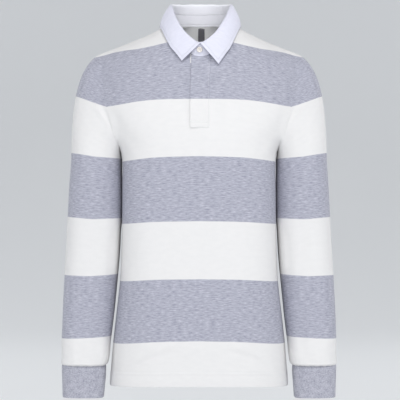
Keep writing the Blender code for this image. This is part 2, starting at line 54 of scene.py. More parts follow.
# Sections of the body, from the front hem up the front, over the shoulder ridge and down to the back hem.
# Each one runs from side to side: its middle, its two ends, half its width, how square it is in plan, and
# the power by which it drops towards its ends. The middles from the neck up are cut away by the neckline.
BODY_COLUMNS = ("z_mid", "y_mid", "z_end", "y_end", "half_width", "squareness", "drop_power")
BODY_SECTIONS = np.array((
    (-0.708, -0.118, -0.7110, 0.002, 0.1775, 2.90, 2.0),
    (-0.664, -0.1175, -0.6685, 0.002, 0.1745, 2.90, 2.0),
    (-0.619, -0.1165, -0.6250, 0.003, 0.1708, 2.95, 2.0),
    (-0.560, -0.114, -0.5660, 0.003, 0.1642, 3.00, 2.0),
    (-0.498, -0.112, -0.5040, 0.004, 0.1575, 3.10, 2.0),
    (-0.385, -0.112, -0.3910, 0.005, 0.1535, 3.20, 2.0),
    (-0.310, -0.1145, -0.3170, 0.005, 0.1528, 3.20, 2.0),
    (-0.258, -0.116, -0.2690, 0.005, 0.1532, 3.20, 2.0),
    (-0.238, -0.1155, -0.2500, 0.005, 0.1560, 3.10, 2.0),
    (-0.197, -0.1125, -0.2120, 0.005, 0.1780, 2.85, 2.0),
    (-0.160, -0.107, -0.1780, 0.005, 0.1930, 2.70, 2.0),
    (-0.125, -0.099, -0.1450, 0.005, 0.1990, 2.60, 1.9),
    (-0.090, -0.086, -0.1160, 0.005, 0.2000, 2.50, 1.7),
    (-0.062, -0.075, -0.1000, 0.005, 0.1990, 2.50, 1.5),
    (-0.044, -0.068, -0.0900, 0.005, 0.1985, 2.50, 1.3),
    (-0.0106, -0.0566, -0.0780, 0.005, 0.1980, 2.50, 1.0),
    (0.043, -0.031, -0.0620, 0.005, 0.1970, 2.50, 0.7),
    (0.085, 0.005, -0.0510, 0.005, 0.1960, 2.50, 0.5),
    (0.070, 0.023, -0.0560, 0.005, 0.1970, 2.50, 0.6),
    (0.046, 0.045, -0.0690, 0.005, 0.1980, 2.50, 0.8),
    (0.020, 0.062, -0.0840, 0.005, 0.1985, 2.50, 1.1),
    (0.008, 0.068, -0.0940, 0.005, 0.1990, 2.50, 1.4),
    (-0.030, 0.083, -0.1120, 0.005, 0.2000, 2.50, 1.7),
    (-0.080, 0.096, -0.1400, 0.005, 0.1995, 2.50, 1.9),
    (-0.135, 0.105, -0.1760, 0.005, 0.1935, 2.70, 2.0),
    (-0.190, 0.109, -0.2120, 0.005, 0.1780, 2.85, 2.0),
    (-0.238, 0.109, -0.2500, 0.005, 0.1560, 3.10, 2.0),
    (-0.258, 0.108, -0.2690, 0.005, 0.1532, 3.20, 2.0),
    (-0.310, 0.106, -0.3170, 0.005, 0.1528, 3.20, 2.0),
    (-0.385, 0.102, -0.3910, 0.005, 0.1535, 3.20, 2.0),
    (-0.498, 0.099, -0.5040, 0.004, 0.1575, 3.10, 2.0),
    (-0.560, 0.100, -0.5660, 0.003, 0.1642, 3.00, 2.0),
    (-0.619, 0.102, -0.6250, 0.003, 0.1708, 2.95, 2.0),
    (-0.664, 0.104, -0.6685, 0.002, 0.1745, 2.90, 2.0),
    (-0.708, 0.105, -0.7110, 0.002, 0.1775, 2.90, 2.0),
))
FRONT_ARMPIT = 8
FRONT_NECK = 13
RIDGE = 17
BACK_NECK = 21
BACK_ARMPIT = 26
GAUGE = 0.6  # share of the half width at which the sections' distances apart are measured

# The armhole seam, seen from the front: height, distance from the centre line.
ARMHOLE = np.array((
    (-0.2500, 0.1560),
    (-0.2370, 0.1582),
    (-0.2265, 0.1606),
    (-0.2000, 0.1690),
    (-0.1600, 0.1795),
    (-0.1295, 0.1870),
    (-0.0930, 0.1910),
    (-0.0500, 0.1920),
))

NECK_HALF_WIDTH = 0.068
NECK_HALF_DEPTH = 0.0715
NECK_CENTRE_Y = -0.0035
# The top of the body and the collar sit a little to one side: how far, and where that fades out.
NECK_SHIFT = 0.0025
SHIFT_LOW = -0.150
SHIFT_HEIGHT = 0.090
SHIFT_FAR = 0.150
SHIFT_WIDTH = 0.060
LEAN = 0.002
LEAN_HEIGHT = 0.050

HEM_DEPTH = 0.030
PLACKET_BOTTOM = -0.202
WINDOW_HALF = 0.0140  # half the width of the opening in the front under the placket
BACK_STRIP_HALF = 0.0100
FLAP_HALF = 0.0176
FLAP_SEWN = 0.0200  # place of the flap's sewn edge, which the solid has at FLAP_HALF
UNDERLAP_HALF = 0.0160
UNDERLAP_EXTRA = 0.005
FLAP_EXTRA = 0.0022
TOP_TRIM = 0.0007  # how far the placket's strips end below the neckline
FLAP_FREE_RISE = 0.0028  # how far the flap stands off the front at its free edge
FLAP_FALL = 0.0017  # how much nearer the front it lies at its sewn edge
UNDERLAP_GAP = 0.0006
FACING_PROUD = 0.0022
FACING_INNER = 0.0110
FACING_RISE = 0.0010
FACING_BOTTOM = -0.0745
BOX_HEIGHT = 0.0120

# Sleeve sections, from the armpit down. Columns: z, centre_x, half_x, centre_y, half_y.
SLEEVE_SECTIONS = np.array((
    (-0.264, 0.2047, 0.0507, 0.006, 0.0620),
    (-0.324, 0.2066, 0.0530, 0.007, 0.0615),
    (-0.376, 0.2085, 0.0540, 0.007, 0.0602),
    (-0.404, 0.2103, 0.0537, 0.007, 0.0594),
    (-0.450, 0.2127, 0.0538, 0.006, 0.0580),
    (-0.508, 0.2165, 0.0533, 0.001, 0.0545),
    (-0.560, 0.2200, 0.0518, -0.007, 0.0500),
    (-0.592, 0.2220, 0.0503, -0.013, 0.0465),
    (-0.630, 0.2245, 0.0482, -0.021, 0.0420),
    (-0.652, 0.2250, 0.0472, -0.026, 0.0378),
    (-0.662, 0.2261, 0.0464, -0.028, 0.0358),
    (-0.667, 0.2273, 0.0454, -0.029, 0.0340),
    (-0.669, 0.2281, 0.0440, -0.029, 0.0305),
))
SLEEVE_SQUARENESS = 2.3
# Squareness of the side that lies along the body, by the depth below the shoulder.
INNER_SQUARENESS = np.array((
    (0.370, 2.8), (0.398, 4.2), (0.480, 4.2), (0.510, 2.7), (0.620, 2.7), (0.650, 3.1),
))
CAP_TILT_TOP = math.radians(20)
CAP_TILT_PIT = math.radians(85)
CAP_FULLNESS = 0.9

# Cuff sections, with the sleeve's columns.
CUFF_SECTIONS = np.array((
    (-0.6686, 0.2284, 0.0428, -0.029, 0.0284),
    (-0.6740, 0.2284, 0.0434, -0.030, 0.0290),
    (-0.6850, 0.2284, 0.0434, -0.030, 0.0290),
    (-0.7120, 0.2290, 0.0422, -0.032, 0.0282),
    (-0.7345, 0.2296, 0.0412, -0.034, 0.0272),
))

# The collar round the neckline, by the angle from the centre front: how far the stand's top and the fold
# lie above the neckline, and how far outside it.
# Columns: angle, stand_rise, stand_lean, fold_rise, fold_lean.
COLLAR = np.array((
    (0, 0.0235, 0.0025, 0.0265, 0.0030),
    (17, 0.0250, 0.0010, 0.0340, 0.0010),
    (42, 0.0250, -0.0010, 0.0370, -0.0020),
    (67, 0.0250, -0.0040, 0.0420, -0.0080),
    (90, 0.0240, -0.0050, 0.0425, -0.0110),
    (135, 0.0230, -0.0035, 0.0435, -0.0075),
    (180, 0.0225, -0.0020, 0.0460, -0.0040),
))
FOLD_RADIUS = 0.0036
STAND_END_LEFT = -15.0
STAND_END_RIGHT = 374.0
LAP_OFFSET = 0.00125
LAP_REACH = 40.0
LAP_BLEND = 26.0
STAND_END_DROP = 0.35  # share of its height that the stand loses towards each end
LEAF_START = -0.5  # a little past the middle, where one end of the leaf passes over the other
LEAF_GAP = 0.0003

# The leaf's outer edge, from the point of the collar at share 0 to the centre back at share 0.5. The foot
# is the place on the body under the edge: its distance from the centre line, and the middle of its section.
# Columns: share, foot_x, foot_y_mid, lift off the body, bulge of the leaf above the edge.
LEAF_EDGE = np.array((
    (0.00, 0.0360, -0.0785, 0.0046, 0.0010),
    (0.06, 0.0490, -0.0700, 0.0044, 0.0015),
    (0.12, 0.0620, -0.0600, 0.0040, 0.0020),
    (0.18, 0.0720, -0.0400, 0.0036, 0.0028),
    (0.25, 0.0785, -0.0050, 0.0040, 0.0035),
    (0.33, 0.0760, 0.0300, 0.0030, 0.0030),
    (0.40, 0.0590, 0.0555, 0.0022, 0.0022),
    (0.435, 0.0435, 0.0678, 0.0020, 0.0018),
    (0.467, 0.0225, 0.0724, 0.0018, 0.0013),
    (0.50, 0.0000, 0.0737, 0.0015, 0.0010),
))
LEFT_POINT_DROP = 0.0055
LEFT_POINT_SHARE = 0.15
COLLAR_STITCH_INSET = 0.0055
COLLAR_BEVEL = 0.0004

BUTTON_RADIUS = 0.0055
BUTTON_THICKNESS = 0.0022
BUTTON_HEIGHT = 0.0130
BUTTON_ANGLE = -1.0
BUTTON_GAP = 0.0004

LABEL_HALF_WIDTH = 0.0065
LABEL_LENGTH = 0.028
LABEL_CENTRE_X = 0.0023
LABEL_TOP_GAP = 0.0012
LABEL_GAP = 0.0009
LABEL_CURL = 0.0016  # how far the label's foot hangs further off the back than its top

# Stripe edges on the body, by the distance from the centre line, from the shoulder down. The cloth between
# the first two is grey, between the next two white, and so on.
BODY_STRIPE_X = (0.0, 0.062, 0.092, 0.123, 0.150, 0.171, 0.192)
BODY_STRIPES = np.array((
    (-0.0300, -0.0325, -0.0395, -0.0453, -0.0478, -0.0510, -0.0570),
    (-0.1468, -0.1474, -0.1486, -0.1517, -0.1558, -0.1590, -0.1615),
    (-0.2587, -0.2600, -0.2615, -0.2650, -0.2680, -0.2695, -0.2710),
    (-0.3852, -0.3860, -0.3869, -0.3892, -0.3912, -0.3920, -0.3930),
    (-0.4982, -0.4988, -0.4998, -0.5020, -0.5039, -0.5050, -0.5060),
    (-0.6184, -0.6195, -0.6209, -0.6235, -0.6257, -0.6270, -0.6280),
    (-0.7400, -0.7410, -0.7420, -0.7430, -0.7440, -0.7450, -0.7460),
))
# Stripe edges on the sleeves, at their inner side, middle and outer side. The cloth below the first is grey.
SLEEVE_STRIPE_X = np.array((
    (0.180, 0.192, 0.205),
    (0.180, 0.213, 0.247),
    (0.155, 0.204, 0.253),
    (0.157, 0.210, 0.263),
    (0.162, 0.216, 0.270),
    (0.177, 0.225, 0.273),
    (0.180, 0.226, 0.273),
))
SLEEVE_STRIPES = np.array((
    (-0.0540, -0.0568, -0.0590),
    (-0.1610, -0.1495, -0.1360),
    (-0.2620, -0.2585, -0.2505),
    (-0.3800, -0.3820, -0.3775),
    (-0.4910, -0.4945, -0.4930),
    (-0.6130, -0.6155, -0.6180),
    (-0.7350, -0.7350, -0.7350),
))
STRIPE_PITCH = 0.120
PLAIN_WHITE = 1.5  # the middle of a white stripe

# Soft creases in the cloth of the body, as they lie seen from the front or the back: their two ends, how far
# the middle bows up, half their width, and their height, which is less than nothing for a trough.
# Columns: from_x, from_z, to_x, to_z, bow, width, height.
FRONT_CREASES = (
    (-0.132, -0.670, -0.042, -0.636, 0.004, 0.0065, -0.0014),
    (-0.126, -0.660, -0.050, -0.629, 0.004, 0.0060, 0.0009),
    (0.054, -0.6395, 0.135, -0.6665, 0.004, 0.0065, -0.0014),
    (0.060, -0.630, 0.128, -0.656, 0.004, 0.0060, 0.0009),
    (-0.090, -0.640, 0.070, -0.642, 0.006, 0.0100, 0.0006),
    (-0.172, -0.176, -0.126, -0.236, -0.004, 0.0140, -0.0026),
    (0.172, -0.176, 0.128, -0.234, -0.004, 0.0140, -0.0026),
    (-0.158, -0.196, -0.128, -0.262, 0.002, 0.0110, 0.0012),
    (0.158, -0.196, 0.130, -0.266, 0.002, 0.0110, 0.0012),
    (-0.153, -0.252, -0.095, -0.286, 0.003, 0.0120, -0.0010),
    (0.153, -0.254, 0.100, -0.284, 0.003, 0.0120, -0.0010),
    (-0.150, -0.150, -0.082, -0.108, 0.004, 0.0160, -0.0012),
    (0.150, -0.150, 0.086, -0.110, 0.004, 0.0160, -0.0012),
    (-0.120, -0.300, -0.104, -0.520, 0.003, 0.0200, 0.0012),
    (0.118, -0.310, 0.108, -0.540, -0.003, 0.0200, 0.0012),
    (-0.060, -0.420, -0.072, -0.610, 0.003, 0.0220, -0.0009),
    (0.064, -0.400, 0.070, -0.600, 0.003, 0.0220, -0.0009),
    (-0.044, -0.222, -0.016, -0.206, 0.002, 0.0050, -0.0005),
    (0.018, -0.206, 0.050, -0.226, 0.002, 0.0050, -0.0005),
)
BACK_CREASES = (
    (-0.166, -0.160, -0.100, -0.210, -0.004, 0.0120, -0.0018),
    (0.166, -0.162, 0.104, -0.214, -0.004, 0.0120, -0.0018),
    (-0.150, -0.220, -0.092, -0.286, 0.004, 0.0130, 0.0014),
    (0.150, -0.222, 0.096, -0.280, 0.004, 0.0130, 0.0014),
    (-0.060, -0.060, -0.020, -0.120, 0.004, 0.0130, -0.0012),
    (0.058, -0.060, 0.024, -0.116, 0.004, 0.0130, -0.0012),
    (-0.110, -0.440, -0.030, -0.462, -0.006, 0.0120, -0.0014),
    (0.026, -0.470, 0.116, -0.446, -0.006, 0.0120, -0.0014),
    (-0.096, -0.478, 0.030, -0.500, -0.005, 0.0110, 0.0010),
    (-0.080, -0.300, -0.086, -0.430, 0.003, 0.0200, 0.0013),
    (0.078, -0.290, 0.084, -0.420, 0.003, 0.0200, 0.0013),
    (-0.124, -0.664, -0.030, -0.650, 0.004, 0.0080, -0.0009),
    (0.034, -0.652, 0.128, -0.668, 0.004, 0.0080, -0.0009),
)
# Creases in the front and in the back half of a sleeve, in the same columns. Those of the other sleeve are
# nearly the same.
SLEEVE_FRONT_CREASES = (
    (0.2030, -0.1420, 0.1690, -0.1980, -0.002, 0.0060, -0.0022),
    (0.2090, -0.1490, 0.1790, -0.1880, -0.002, 0.0056, 0.0018),
    (0.1830, -0.2000, 0.1660, -0.2420, 0.001, 0.0080, 0.0009),
    (0.1660, -0.3880, 0.1760, -0.4980, 0.003, 0.0090, -0.0018),
    (0.1880, -0.3600, 0.1900, -0.5000, 0.003, 0.0110, 0.0012),
    (0.2280, -0.2700, 0.2320, -0.4300, 0.004, 0.0170, -0.0011),
    (0.2080, -0.2850, 0.2010, -0.4000, 0.003, 0.0160, 0.0010),
    (0.1960, -0.5450, 0.2080, -0.6550, 0.003, 0.0100, -0.0014),
    (0.2120, -0.5800, 0.2180, -0.6600, 0.002, 0.0090, 0.0011),
    (0.2380, -0.5200, 0.2360, -0.6550, 0.002, 0.0110, -0.0010),
    (0.1880, -0.6050, 0.1940, -0.6620, 0.001, 0.0070, 0.0008),
    (0.2520, -0.6150, 0.2500, -0.6600, 0.001, 0.0070, 0.0008),
)
SLEEVE_BACK_CREASES = (
    (0.1960, -0.1700, 0.1720, -0.2260, -0.002, 0.0090, -0.0018),
    (0.2040, -0.1900, 0.1780, -0.2500, -0.002, 0.0100, 0.0014),
    (0.1680, -0.4020, 0.2160, -0.4220, 0.004, 0.0090, -0.0020),
    (0.1720, -0.4300, 0.2260, -0.4420, 0.004, 0.0090, 0.0015),
    (0.1800, -0.4640, 0.2200, -0.4600, -0.003, 0.0080, -0.0013),
    (0.2300, -0.2600, 0.2360, -0.3900, 0.004, 0.0160, 0.0012),
    (0.2060, -0.3000, 0.2000, -0.3800, 0.003, 0.0150, -0.0010),
    (0.2000, -0.5500, 0.2120, -0.6550, 0.002, 0.0100, -0.0014),
    (0.2340, -0.5650, 0.2330, -0.6600, 0.002, 0.0100, 0.0011),
)

SEAM_DEPTH = 0.0007
SEAM_WIDTH = 0.0018
ARMHOLE_SEAM_DEPTH = 0.00012
SEAM_CALM = 0.012  # distance from a seam over which the creases fade in
EDGE_ROLL = 0.0012  # reach of a rolled edge, and half the width of the valley that a row of stitches makes
HEM_ROLL_DEPTH = 0.0007
CUFF_ROLL_DEPTH = 0.0008
STITCH_VALLEY = 0.0004
HEM_RISE = 0.0005  # how far the doubled cloth of the hem stands out
SLOW_WAVES = 0.00028
QUICK_WAVES = 0.00010
FILLET = 0.0070  # reach of the soft valley in which the sleeve meets the body
FILLET_HEIGHTS = (-0.252, -0.208)
FILLET_SLOPES = (-0.5, 1.1)
CUFF_TILT = 0.0028  # how far the front of a cuff hangs below its middle
FINE_STEPS = 600

# Heights above the edge of the hem: of its two rows of stitches, and of the rows of points that it needs.
HEM_STITCHES = (HEM_DEPTH - 0.0005, 0.0240)
HEM_ROWS = np.array((
    0.0, 0.0006, 0.0014, 0.004, 0.008, 0.012, 0.016, 0.020, 0.0235, 0.0255, 0.0275, 0.0290, 0.0300, 0.0315,
    0.034,
))
RIDGE_ROWS = np.array((0.0026, 0.0016, 0.0008))  # distances of a panel's last rows from the shoulder seam
FRONT_ROWS = (112, 34)  # rows below and above the foot of the opening
BACK_ROWS = (100, 54)  # rows below and above the armpits
NECK_ROWS = 34
SIDE_COLUMNS = 54  # columns on each side of a panel, without the close ones at its seam
STRIP_COLUMNS = 7  # inner columns of the strip down the middle of a panel

OTHER_SLEEVE_SHIFT = (0.0030, 0.0040)  # how far in and down the creases of the other sleeve lie
UPPER_ARM_RADIUS = 0.055
CUFF_RADIUS = 0.040
GATHER_TOP = 0.640  # depth at which the small pleats above the cuff begin
GATHER_HEIGHT = 0.030
GATHER_DEPTH = 0.0004
CUFF_TILT_TOP = 0.560
CUFF_TILT_HEIGHT = 0.110
SLEEVE_ROLL_TOP = -0.645
SLEEVE_ROLL_END = -0.665
SLEEVE_ROWS = (92, 12, 9)  # rows down to the rolled end, down its curve and to its rim
# Slant of the sleeve's courses: depths below the shoulder, and the slope at each.
SLANT_DEPTHS = (0.150, 0.260, 0.380)
SLANT_SLOPES = (0.365, 0.10, 0.0)

STITCH_PITCH = 0.0030
FINE_PITCH = 0.0027
STITCH_LENGTH = 0.72  # share of the pitch that a stitch covers
STITCH_RADIUS = 0.00022
STAND_STITCH_UP = 0.0040
FLAP_STITCH_INSET = 0.0020
SEWN_STITCH_INSET = 0.0018

HOLE_RADIUS = 0.00075
HOLE_PLACE = 0.00125


def hermite(t, start, leave, end, arrive):
    """Cubic curve from a start to an end, by how it leaves the one and arrives at the other."""
    first = (2 * t**3 - 3 * t**2 + 1) * start + (t**3 - 2 * t**2 + t) * leave
    last = (3 * t**2 - 2 * t**3) * end + (t**3 - t**2) * arrive
    return first + last


def smooth_curve(knots, values, at):
    """Cubic curve through the values, with each knot's slope taken from its neighbours."""
    slopes = np.gradient(values, knots, axis=0)
    at = np.clip(at, knots[0], knots[-1])
    i = np.clip(np.searchsorted(knots, at, side="right") - 1, 0, len(knots) - 2)
    step = (knots[i + 1] - knots[i])[..., None]
    t = (at - knots[i])[..., None] / step
    return hermite(t, values[i], step * slopes[i], values[i + 1], step * slopes[i + 1])


def smooth_step(share):
    """A share held between 0 and 1, with a gentle start and end."""
    share = np.clip(share, 0, 1)
    return share**2 * (3 - 2 * share)


def running_lengths(grid, axis):
    """Lengths along the rows or the columns of a grid of points, from its first one."""
    steps = np.linalg.norm(np.diff(grid, axis=axis), axis=-1)
    return np.insert(np.cumsum(steps, axis=axis), 0, 0.0, axis=axis)


def running_share(points):
    length = running_lengths(points, 0)
    return length / length[-1]


def points_between(at, knots, points, **ends):
    """Points of a line at places between its knots."""
    return np.stack([np.interp(at, knots, points[:, i], **ends) for i in range(3)], axis=-1)


def unit(vectors):
    return vectors / np.linalg.norm(vectors, axis=-1, keepdims=True)


def section_point(section, x):
    """Points of body sections at distances x from the centre line."""
    z_mid, y_mid, z_end, y_end, half, square, power = np.moveaxis(section, -1, 0)
    share = np.clip(np.abs(x) / half, 0.0, 1.0)
    y = y_end + (y_mid - y_end) * (1 - share**square) ** (1 / square)
    z = z_end + (z_mid - z_end) * (1 - share**power)
    return np.stack(np.broadcast_arrays(x, y, z), axis=-1)


# A running length for each section, measured at one share of the width.
STATIONS = running_lengths(section_point(BODY_SECTIONS, GAUGE * BODY_SECTIONS[:, 4]), 0)
RIDGE_ANGLE = math.degrees(math.acos((NECK_CENTRE_Y - BODY_SECTIONS[RIDGE, 1]) / NECK_HALF_DEPTH))


def body_section(v):
    return smooth_curve(STATIONS, BODY_SECTIONS, v)


def body_point(x, v):
    """The outer surface of the body at distance x from the centre line and station v."""
    v = np.asarray(v, float)
    return section_point(body_section(v), np.asarray(x, float))


def body_normal(x, v):
    step = 0.0005
    along_x = body_point(x + step, v) - body_point(x - step, v)
    along_v = body_point(x, v + step) - body_point(x, v - step)
    return unit(np.cross(along_x, along_v))


def station_where(column, value, first, last):
    """The station between two sections where a column, which rises or falls steadily there, has a value."""
    v = np.linspace(STATIONS[first], STATIONS[last], FINE_STEPS)
    found = body_section(v)[:, BODY_COLUMNS.index(column)]
    order = np.argsort(found)
    return np.interp(value, found[order], v[order])


def armhole_x(v):
    """Distance of the armhole seam from the centre line, on the sections at stations v."""
    section = body_section(v)
    x = section[:, 4]
    for _ in range(6):
        height = section_point(section, x)[:, 2]
        x = np.minimum(np.interp(height, ARMHOLE[:, 0], ARMHOLE[:, 1]), section[:, 4])
    return x


def neck_station(angle):
    """Station of the neckline at an angle in degrees from the centre front."""
    y_mid = NECK_CENTRE_Y - NECK_HALF_DEPTH * np.cos(np.radians(angle))
    return station_where("y_mid", y_mid, FRONT_NECK - 1, BACK_NECK + 1)


def neck_x(angle):
    return NECK_HALF_WIDTH * np.sin(np.radians(angle))


def placket_bottom():
    return station_where("z_mid", PLACKET_BOTTOM, FRONT_ARMPIT, FRONT_NECK)


def settle(points):
    """The collar and the top of the body sit a little to the wearer's left."""
    points = np.array(points, float)
    shift = NECK_SHIFT * smooth_step((points[..., 2] - SHIFT_LOW) / SHIFT_HEIGHT)
    shift += LEAN * np.clip(points[..., 2] / LEAN_HEIGHT, 0, 1)
    points[..., 0] += shift * smooth_step((SHIFT_FAR - np.abs(points[..., 0])) / SHIFT_WIDTH)
    return points


def grid_normals(grid, ring, flip):
    if ring:
        across = np.roll(grid, -1, axis=1) - np.roll(grid, 1, axis=1)
    else:
        across = np.gradient(grid, axis=1)
    normals = unit(np.cross(across, np.gradient(grid, axis=0)))
    return -normals if flip else normals


def bump_of(distance, width):
    return np.exp(-((distance / width) ** 2))


def crease_heights(a, b, table):
    """Heights of a table's creases at places (a, b)."""
    total = np.zeros(np.shape(a))
    for from_a, from_b, to_a, to_b, bow, width, height in table:
        line = np.array((to_a - from_a, to_b - from_b))
        length = np.linalg.norm(line)
        line = line / length
        off_a = a - from_a
        off_b = b - from_b
        along = (off_a * line[0] + off_b * line[1]) / length
        middle = 2 * np.clip(along, 0, 1) - 1
        aside = off_b * line[0] - off_a * line[1] - bow * (1 - middle**2) * math.copysign(1, line[0])
        beyond = np.maximum(np.abs(along - 0.5) - 0.5, 0) * length
        total += height * (1 - 0.6 * middle**4) * bump_of(np.hypot(aside, beyond), width)
    return total


def unevenness(points):
    """Slight waves of cloth that is never quite flat."""
    x, y, z = np.moveaxis(points, -1, 0)
    slow = np.sin(31 * x + 12 * z + 0.7) * np.sin(23 * z - 9 * x + 17 * y) + np.sin(19 * z + 27 * y + 1.9)
    quick = np.sin(83 * x - 37 * z + 2.1) * np.sin(67 * z + 29 * y) * np.sin(21 * y + 11 * x)
    return SLOW_WAVES * slow + QUICK_WAVES * quick


def stripe_place(points, knots_x, edges):
    """Count of the stripe that each point is in, with the way through it as the fraction."""
    x, z = points[..., 0], points[..., 2]
    heights = np.array([
        np.interp(np.abs(x), row_x, row)
        for row_x, row in zip(np.broadcast_to(knots_x, edges.shape), edges)
    ])
    place = -(z - heights[0]) / STRIPE_PITCH
    for k in range(len(edges) - 1):
        share = (heights[k] - z) / (heights[k] - heights[k + 1])
        place = np.where(share > 0, k + np.clip(share, 0, 1), place)
    return place


def linked(name, data):
    """A new object that shows this data."""
    obj = bpy.data.objects.new(name, data)
    bpy.context.scene.collection.objects.link(obj)
    return obj


def mesh_object(name, points, faces, material=None):
    mesh = bpy.data.meshes.new(name)
    mesh.from_pydata(points, [], faces)
    if material is not None:
        mesh.materials.append(material)
    return linked(name, mesh)


def applied(obj, sharp):
    """Turns the object's modifiers into its mesh and marks the edges that stay sharp."""
    graph = bpy.context.evaluated_depsgraph_get()
    mesh = bpy.data.meshes.new_from_object(obj.evaluated_get(graph))
    old = obj.data
    obj.modifiers.clear()
    obj.data = mesh
    bpy.data.meshes.remove(old)
    mesh.name = obj.name
    mesh.shade_smooth()
    mesh.set_sharp_from_angle(angle=math.radians(sharp))
    return obj


def shell(name, grid, material, wall, ring=False, flip=False, cloth=None, marks=(), closed_off=None,
          heavy=None, bevel=0.0, offset=-1.0):
    """A thin piece of cloth from a grid of points on its outer face.

    cloth holds places on the flat cloth in metres, one column more than the grid on a ring. marks are named
    values at the points. closed_off says which quads are left out, and heavy each row's share of the wall.
    """
    rows, columns = grid.shape[:2]
    index = np.arange(rows * columns).reshape(rows, columns)
    if ring:
        index = np.concatenate((index, index[:, :1]), axis=1)

    def corners(values):
        return np.stack((values[:-1, :-1], values[:-1, 1:], values[1:, 1:], values[1:, :-1]), axis=2)

    faces = corners(index)
    keep = np.ones(faces.shape[:2], bool) if closed_off is None else ~closed_off
    faces = faces[keep]
    places = corners(cloth)[keep]
    if flip:
        faces = faces[:, ::-1]
        places = places[:, ::-1]
    used, faces = np.unique(faces, return_inverse=True)
    faces = faces.reshape(-1, 4)
    made = mesh_object(name, settle(grid.reshape(-1, 3)[used]).tolist(), faces.tolist(), material)
    mesh = made.data
    layer = mesh.uv_layers.new(name="cloth")
    layer.data.foreach_set("uv", places.reshape(-1).astype(np.float32))
    for label, values in marks:
        mark = mesh.attributes.new(label, "FLOAT", "POINT")
        mark.data.foreach_set("value", np.asarray(values, np.float32).reshape(-1)[used])
    solid = made.modifiers.new("wall", "SOLIDIFY")
    solid.thickness = wall
    solid.offset = offset
    solid.use_even_offset = True
    if heavy is not None:
        group = made.vertex_groups.new(name="thickness")
        shares = np.repeat(heavy, columns)[used]
        for share in np.unique(shares):
            group.add(np.flatnonzero(shares == share).tolist(), float(share), "REPLACE")
        solid.vertex_group = group.name
    if bevel:
        soft = made.modifiers.new("soft_edges", "BEVEL")
        soft.width = bevel
        soft.segments = 2
        soft.limit_method = "ANGLE"
        soft.angle_limit = math.radians(55)
    return applied(made, 45)


def cloth_map(grid, ring, down=None):
    """Places on the flat cloth: across the rows, and down them or by the values given."""
    wide = np.concatenate((grid, grid[:, :1]), axis=1) if ring else grid
    across = running_lengths(wide, 1)
    if not ring:
        across = across - across[:, across.shape[1] // 2 :][:, :1]
    if down is None:
        along = running_lengths(wide, 0)
    else:
        along = np.concatenate((down, down[:, :1]), axis=1) if ring else down
    return np.stack((across, along), axis=-1)


class Shader:
    """A material's nodes, added one by one."""

    def __init__(self, name, roughness, sheen=0.0):
        self.material = bpy.data.materials.new(name)
        self.material.use_nodes = True
        self.tree = self.material.node_tree
        self.principled = self.tree.nodes["Principled BSDF"]
        self.principled.inputs["Roughness"].default_value = roughness
        self.principled.inputs["Specular IOR Level"].default_value = 0.3
        self.principled.inputs["Sheen Weight"].default_value = sheen
        self.principled.inputs["Sheen Roughness"].default_value = 0.5

    def add(self, kind, inputs=(), **settings):
        node = self.tree.nodes.new(kind)
        for key, value in settings.items():
            setattr(node, key, value)
        for socket, value in inputs:
            self.feed(node, socket, value)
        return node

    def feed(self, node, socket, value):
        if isinstance(value, bpy.types.NodeSocket):
            self.tree.links.new(value, node.inputs[socket])
        else:
            node.inputs[socket].default_value = value

    def math(self, operation, *values, clamp=False):
        node = self.add("ShaderNodeMath", enumerate(values), operation=operation, use_clamp=clamp)
        return node.outputs[0]

    def mark(self, name):
        return self.add("ShaderNodeAttribute", attribute_name=name).outputs["Fac"]

    def cloth(self, across, along):
        """The flat cloth's places, with so many units to the metre each way."""
        place = self.add("ShaderNodeUVMap", uv_map="cloth").outputs[0]
        scaled = self.add("ShaderNodeMapping", (("Vector", place), ("Scale", (across, along, 1.0))))
        return scaled.outputs[0]

    def noise(self, across, along, detail, roughness):
        inputs = (("Vector", self.cloth(across, along)), ("Scale", 1.0), ("Detail", detail),
                  ("Roughness", roughness))
        return self.add("ShaderNodeTexNoise", inputs).outputs["Fac"]

    def split(self, vector):
        return self.add("ShaderNodeSeparateXYZ", ((0, vector),)).outputs

    def blend(self, first, second, share):
        """One share of the first value and the rest of the second."""
        return self.math("ADD", self.math("MULTIPLY", first, share), self.math("MULTIPLY", second, 1 - share))

    def painted_light_mask(self, axis, low, reach):
        """1 on faces that look in at the centre line, fading in along one axis over a reach above low: the
        mask for painted light on inner faces.
        """
        coords = self.add("ShaderNodeTexCoord").outputs
        place = self.split(coords["Object"])
        facing = self.split(coords["Normal"])
        above = self.math("DIVIDE", self.math("ADD", place[axis], -low), reach, clamp=True)
        outward = self.math("ADD", *(self.math("MULTIPLY", place[i], facing[i]) for i in (0, 1)))
        return self.math("MULTIPLY", above, self.math("DIVIDE", outward, -INWARD_FULL, clamp=True))

    def ramp(self, factor, *stops):
        node = self.add("ShaderNodeValToRGB", ((0, factor),))
        elements = node.color_ramp.elements
        while len(elements) < len(stops):
            elements.new(0.5)
        for element, (position, colour) in zip(elements, stops):
            element.position = position
            element.color = (*colour, 1.0)
        return node.outputs[0]

    def mix(self, factor, first, second):
        node = self.add("ShaderNodeMix", data_type="RGBA")
        self.feed(node, 0, factor)
        for socket, value in ((6, first), (7, second)):
            self.feed(node, socket, (*value, 1.0) if isinstance(value, tuple) else value)
        return node.outputs[2]

    def line_at(self, value, place, width):
        """1 where the value is at the place, falling to 0 a width away."""
        away = self.math("DIVIDE", self.math("ABSOLUTE", self.math("SUBTRACT", value, place)), width)
        return self.math("SUBTRACT", 1.0, away, clamp=True)

    def bump(self, height, distance, strength=1.0, under=None):
        inputs = [("Height", height), ("Distance", distance), ("Strength", strength)]
        if under is not None:
            inputs.append(("Normal", under))
        return self.add("ShaderNodeBump", inputs).outputs[0]

    def finish(self, colour, normal=None):
        self.feed(self.principled, "Base Color", (*colour, 1.0) if isinstance(colour, tuple) else colour)
        if normal is not None:
            self.feed(self.principled, "Normal", normal)
        return self.material


